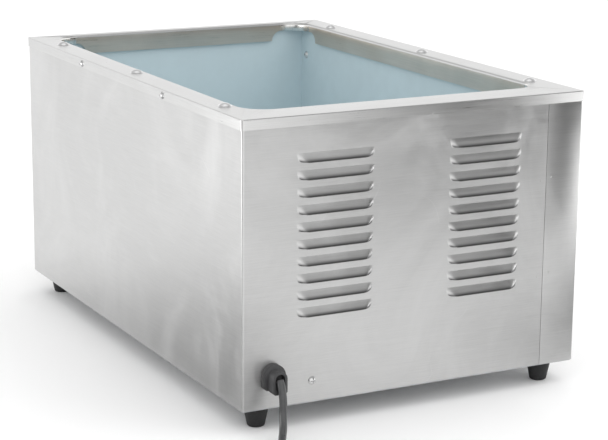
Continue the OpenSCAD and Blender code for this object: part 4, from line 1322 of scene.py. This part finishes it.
    def cut_holes(self, piece: bpy.types.Object) -> None:
        """Cuts the holes that the fittings pass through.

        Args:
            piece: the panel.
        """
        rear_holes = [("gland", 0.0082), ("rear_screw", 0.0022)]
        front_holes = [("dial_plate", 0.0052), ("power_lens", 0.0052), ("heating_lens", 0.0052),
                       ("valve_gasket", 0.0082)]
        cutters = []
        for holes, face in ((rear_holes, self.rear), (front_holes, self.front)):
            for node, radius in holes:
                middle = centre_of(node)
                height = self.gland_height if node == "gland" else middle.z
                pin = turned("cutter", [(radius, -0.004), (radius, 0.004)], 40)
                cutters.append(moved(pin, toward((middle.x, face, height), (0, 1, 0))))
        low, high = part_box("switch_body")
        size = (high.x - low.x - 2 * self.bezel, 0.008, high.z - low.z - 2 * self.bezel)
        middle = ((low.x + high.x) / 2, self.front, (low.z + high.z) / 2)
        bpy.ops.mesh.primitive_cube_add(size=1.0, location=middle)
        window = bpy.context.active_object
        window.scale = size
        bpy.ops.object.transform_apply(location=True, rotation=True, scale=True)
        cutter = joined([*cutters, window], "cutters")
        cut = piece.modifiers.new("holes", "BOOLEAN")
        cut.operation, cut.object, cut.solver = "DIFFERENCE", cutter, "EXACT"
        apply_modifiers(piece)
        bpy.data.objects.remove(cutter)


def select_points(piece: bpy.types.Object, wanted: Callable[[Vector], bool]) -> None:
    """Selects the points of a mesh that pass a test, with the edges and faces between them.

    Args:
        piece: the mesh object, in object mode.
        wanted: a function from a point to whether it is selected.
    """
    mesh = piece.data
    chosen = {v.index for v in mesh.vertices if wanted(v.co)}
    for vertex in mesh.vertices:
        vertex.select = vertex.index in chosen
    for edge in mesh.edges:
        edge.select = all(i in chosen for i in edge.vertices)
    for face in mesh.polygons:
        face.select = all(i in chosen for i in face.vertices)


FINISH_OF_SLOT = {finish.slot: finish for finish in (
    STAINLESS, COVER_STEEL, TANK_STEEL, BLUE_FILM, ZINC, BRIGHT_SCREW, RUBBER, BLACK_PLASTIC, CORD_PVC, BRASS,
    CERAMIC, WIRE, ALUMINIUM, ELEMENT, WOOL, DIAL_WHITE, RED_PLASTIC, GREEN_LENS, AMBER_LENS, PTFE, CHROME,
    VALVE_STEEL, RED_VINYL)}


@dataclass
class DialMarks:
    """The thermostat's printed scale: ticks and plain numbers."""

    ticks: int = 28
    start: float = 225.0
    sweep: float = 270.0
    tick_from: float = 0.0228
    tick_to: float = 0.0246
    number_at: float = 0.0272
    number_size: float = 0.0034
    numbers: tuple[str, ...] = ("0", "30", "45", "60", "75", "90")
    relief: float = 0.00015

    def build(self) -> None:
        """Prints the scale on the dial plate."""
        low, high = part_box("dial_plate")
        centre = ((low.x + high.x) / 2, low.y, (low.z + high.z) / 2)
        face = toward(centre, (0, -1, 0))
        bpy.ops.object.select_all(action="DESELECT")
        bpy.ops.mesh.primitive_cube_add(size=1.0)
        tick = bpy.context.active_object
        length = self.tick_to - self.tick_from
        with Editing(tick):
            bpy.ops.transform.resize(value=(0.0004, length, self.relief))
            bpy.ops.mesh.bevel(offset=0.00005, segments=1)
        places = []
        for k in range(self.ticks):
            a = math.radians(self.start - self.sweep * k / (self.ticks - 1))
            middle = (self.tick_from + self.tick_to) / 2
            spot = Matrix.Translation((middle * math.cos(a), middle * math.sin(a), self.relief / 2))
            places.append(face @ spot @ Matrix.Rotation(a - math.pi / 2, 4, "Z"))
        marks = [copies(tick, places, "ticks")]
        for k, number in enumerate(self.numbers):
            a = math.radians(self.start - self.sweep * k / (len(self.numbers) - 1))
            bpy.ops.object.select_all(action="DESELECT")
            bpy.ops.object.text_add()
            text = bpy.context.active_object
            text.data.body, text.data.size = number, self.number_size
            text.data.align_x, text.data.align_y = "CENTER", "CENTER"
            text.data.extrude = self.relief / 2
            bpy.ops.object.convert(target="MESH")
            x, y = self.number_at * math.cos(a), self.number_at * math.sin(a)
            spot = Matrix.Translation((x, y, self.relief / 2))
            marks.append(moved(text, face @ spot))
        scale = joined(marks, "dial_scale")
        dress(scale, PRINT_BLACK, ROOT)
        LOG.info("dial scale: %d faces", len(scale.data.polygons))


@dataclass
class SpotMarks:
    """The faint raised spots that welds under the sheet leave."""

    rear: float = 0.282
    spots: tuple[tuple[float, float, float], ...] = (
        (-0.1315, 0.2006, 0.0013), (-0.142, 0.2034, 0.0013), (-0.131, 0.1087, 0.0013),
        (-0.1434, 0.1121, 0.0013))
    flange_spots: tuple[tuple[float, float, float], ...] = (
        (-0.012, 0.2735, 0.0008), (-0.107, 0.2735, 0.0008))
    relief: float = 0.00022

    def build(self) -> None:
        """Makes every spot as a low dome."""
        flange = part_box("top_cover")[1].y
        places = [(x, self.rear, z, r) for x, z, r in self.spots]
        places += [(x, flange, z, r) for x, z, r in self.flange_spots]
        domes = []
        for x, y, z, r in places:
            dome = [(r, -0.0002), (r, 0.0), (r * 0.8, self.relief * 0.7), (r * 0.4, self.relief),
                    (0.0, self.relief)]
            domes.append(moved(turned("spot", dome, 20), toward((x, y, z), (0, 1, 0))))
        spots = joined(domes, "weld_spots")
        soften(spots, 0.0)
        dress(spots, STAINLESS, ROOT)
        LOG.info("weld spots: %d faces", len(spots.data.polygons))


@dataclass
class Fittings:
    """The pieces whose solids are right as they are, rounded at their edges or only given a finish."""

    rounded: dict[str, float] = field(default_factory=lambda: {
        "side_panel": 0.35, "top_cover": 0.3, "foot_front_left": 0.8, "foot_front_right": 0.8,
        "foot_rear_left": 0.8, "foot_rear_right": 0.8, "gland": 0.35, "cover_screws": 0.2,
        "flange_screws": 0.15, "rear_screw": 0.15, "liner_screws": 0.15, "base_screws": 0.15,
        "switch_body": 0.4, "switch_rocker": 0.4, "lamp_bodies": 0.3, "dial_knob": 0.4, "valve_body": 0.6,
        "valve_lever": 0.4, "lever_sleeve": 0.8, "lever_nut": 0.3, "plug": 0.8, "coil_tie": 0.3,
        "base_plate": 0.25, "drain_nut": 0.4})
    # The cover screws take the lightened copy of the screw steel, whose paler colour is painted light.
    special: dict[str, Finish] = field(default_factory=lambda: {"cover_screws": LIGHTENED_DOME_SCREW})

    def build(self) -> dict[str, bpy.types.Object]:
        """Rounds or dresses every remaining solid.

        Returns:
            The new pieces by the name of the solid that they stand for.
        """
        parts = frame["record"]["subparts"]
        slots = {part["node"]: part.get("material_slot", part["node"]) for part in parts}
        made = {}
        for node in sorted(frame["nodes"]):
            if frame["nodes"][node].hide_render:
                continue
            finish = FINISH_OF_SLOT[slots[node]]
            if node in self.rounded:
                body = frame["nodes"][node]["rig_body"]
                finish = self.special.get(node, finish)
                made[node] = softened(node, node + "_rounded", finish, self.rounded[node] * MM, body)
            else:
                carry(node, finish)
        self.tint_skirt(made["top_cover"])
        return made

    @staticmethod
    def tint_skirt(cover: bpy.types.Object) -> None:
        """Gives the skirt that hangs inside the opening its heat-tinted finish.

        Args:
            cover: the rounded top cover.
        """
        low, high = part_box("top_cover")
        cover.data.materials.append(SKIRT_STEEL.material())
        cover.data.materials.append(POLISHED.material())
        for face in cover.data.polygons:
            x, y, z = face.center
            if abs(x) < high.x - 0.012 and low.y + 0.009 < y < high.y - 0.03 and z < 0.2812:
                corner = abs(x) > 0.126 and not -0.216 < y < 0.222
                face.material_index = 2 if corner else (1 if z < 0.2785 else 0)


def main() -> None:
    """Builds the studio and every piece, and reports each."""
    logging.basicConfig(level=logging.INFO, format="%(message)s")
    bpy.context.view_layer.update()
    Studio(cards=STUDIO_CARDS).build()
    lead_maker = MainsLead()
    lead = lead_maker.build()
    LOG.info("lead: %d points", len(lead.data.splines[0].bezier_points))
    wrap = WrapPanel().build()
    LOG.info("wrap panel: %d faces", len(wrap.data.polygons))
    fitted = Fittings().build()
    DialMarks().build()
    SpotMarks().build()
    lead_maker.declare()


if __name__ == "__main__":
    main()
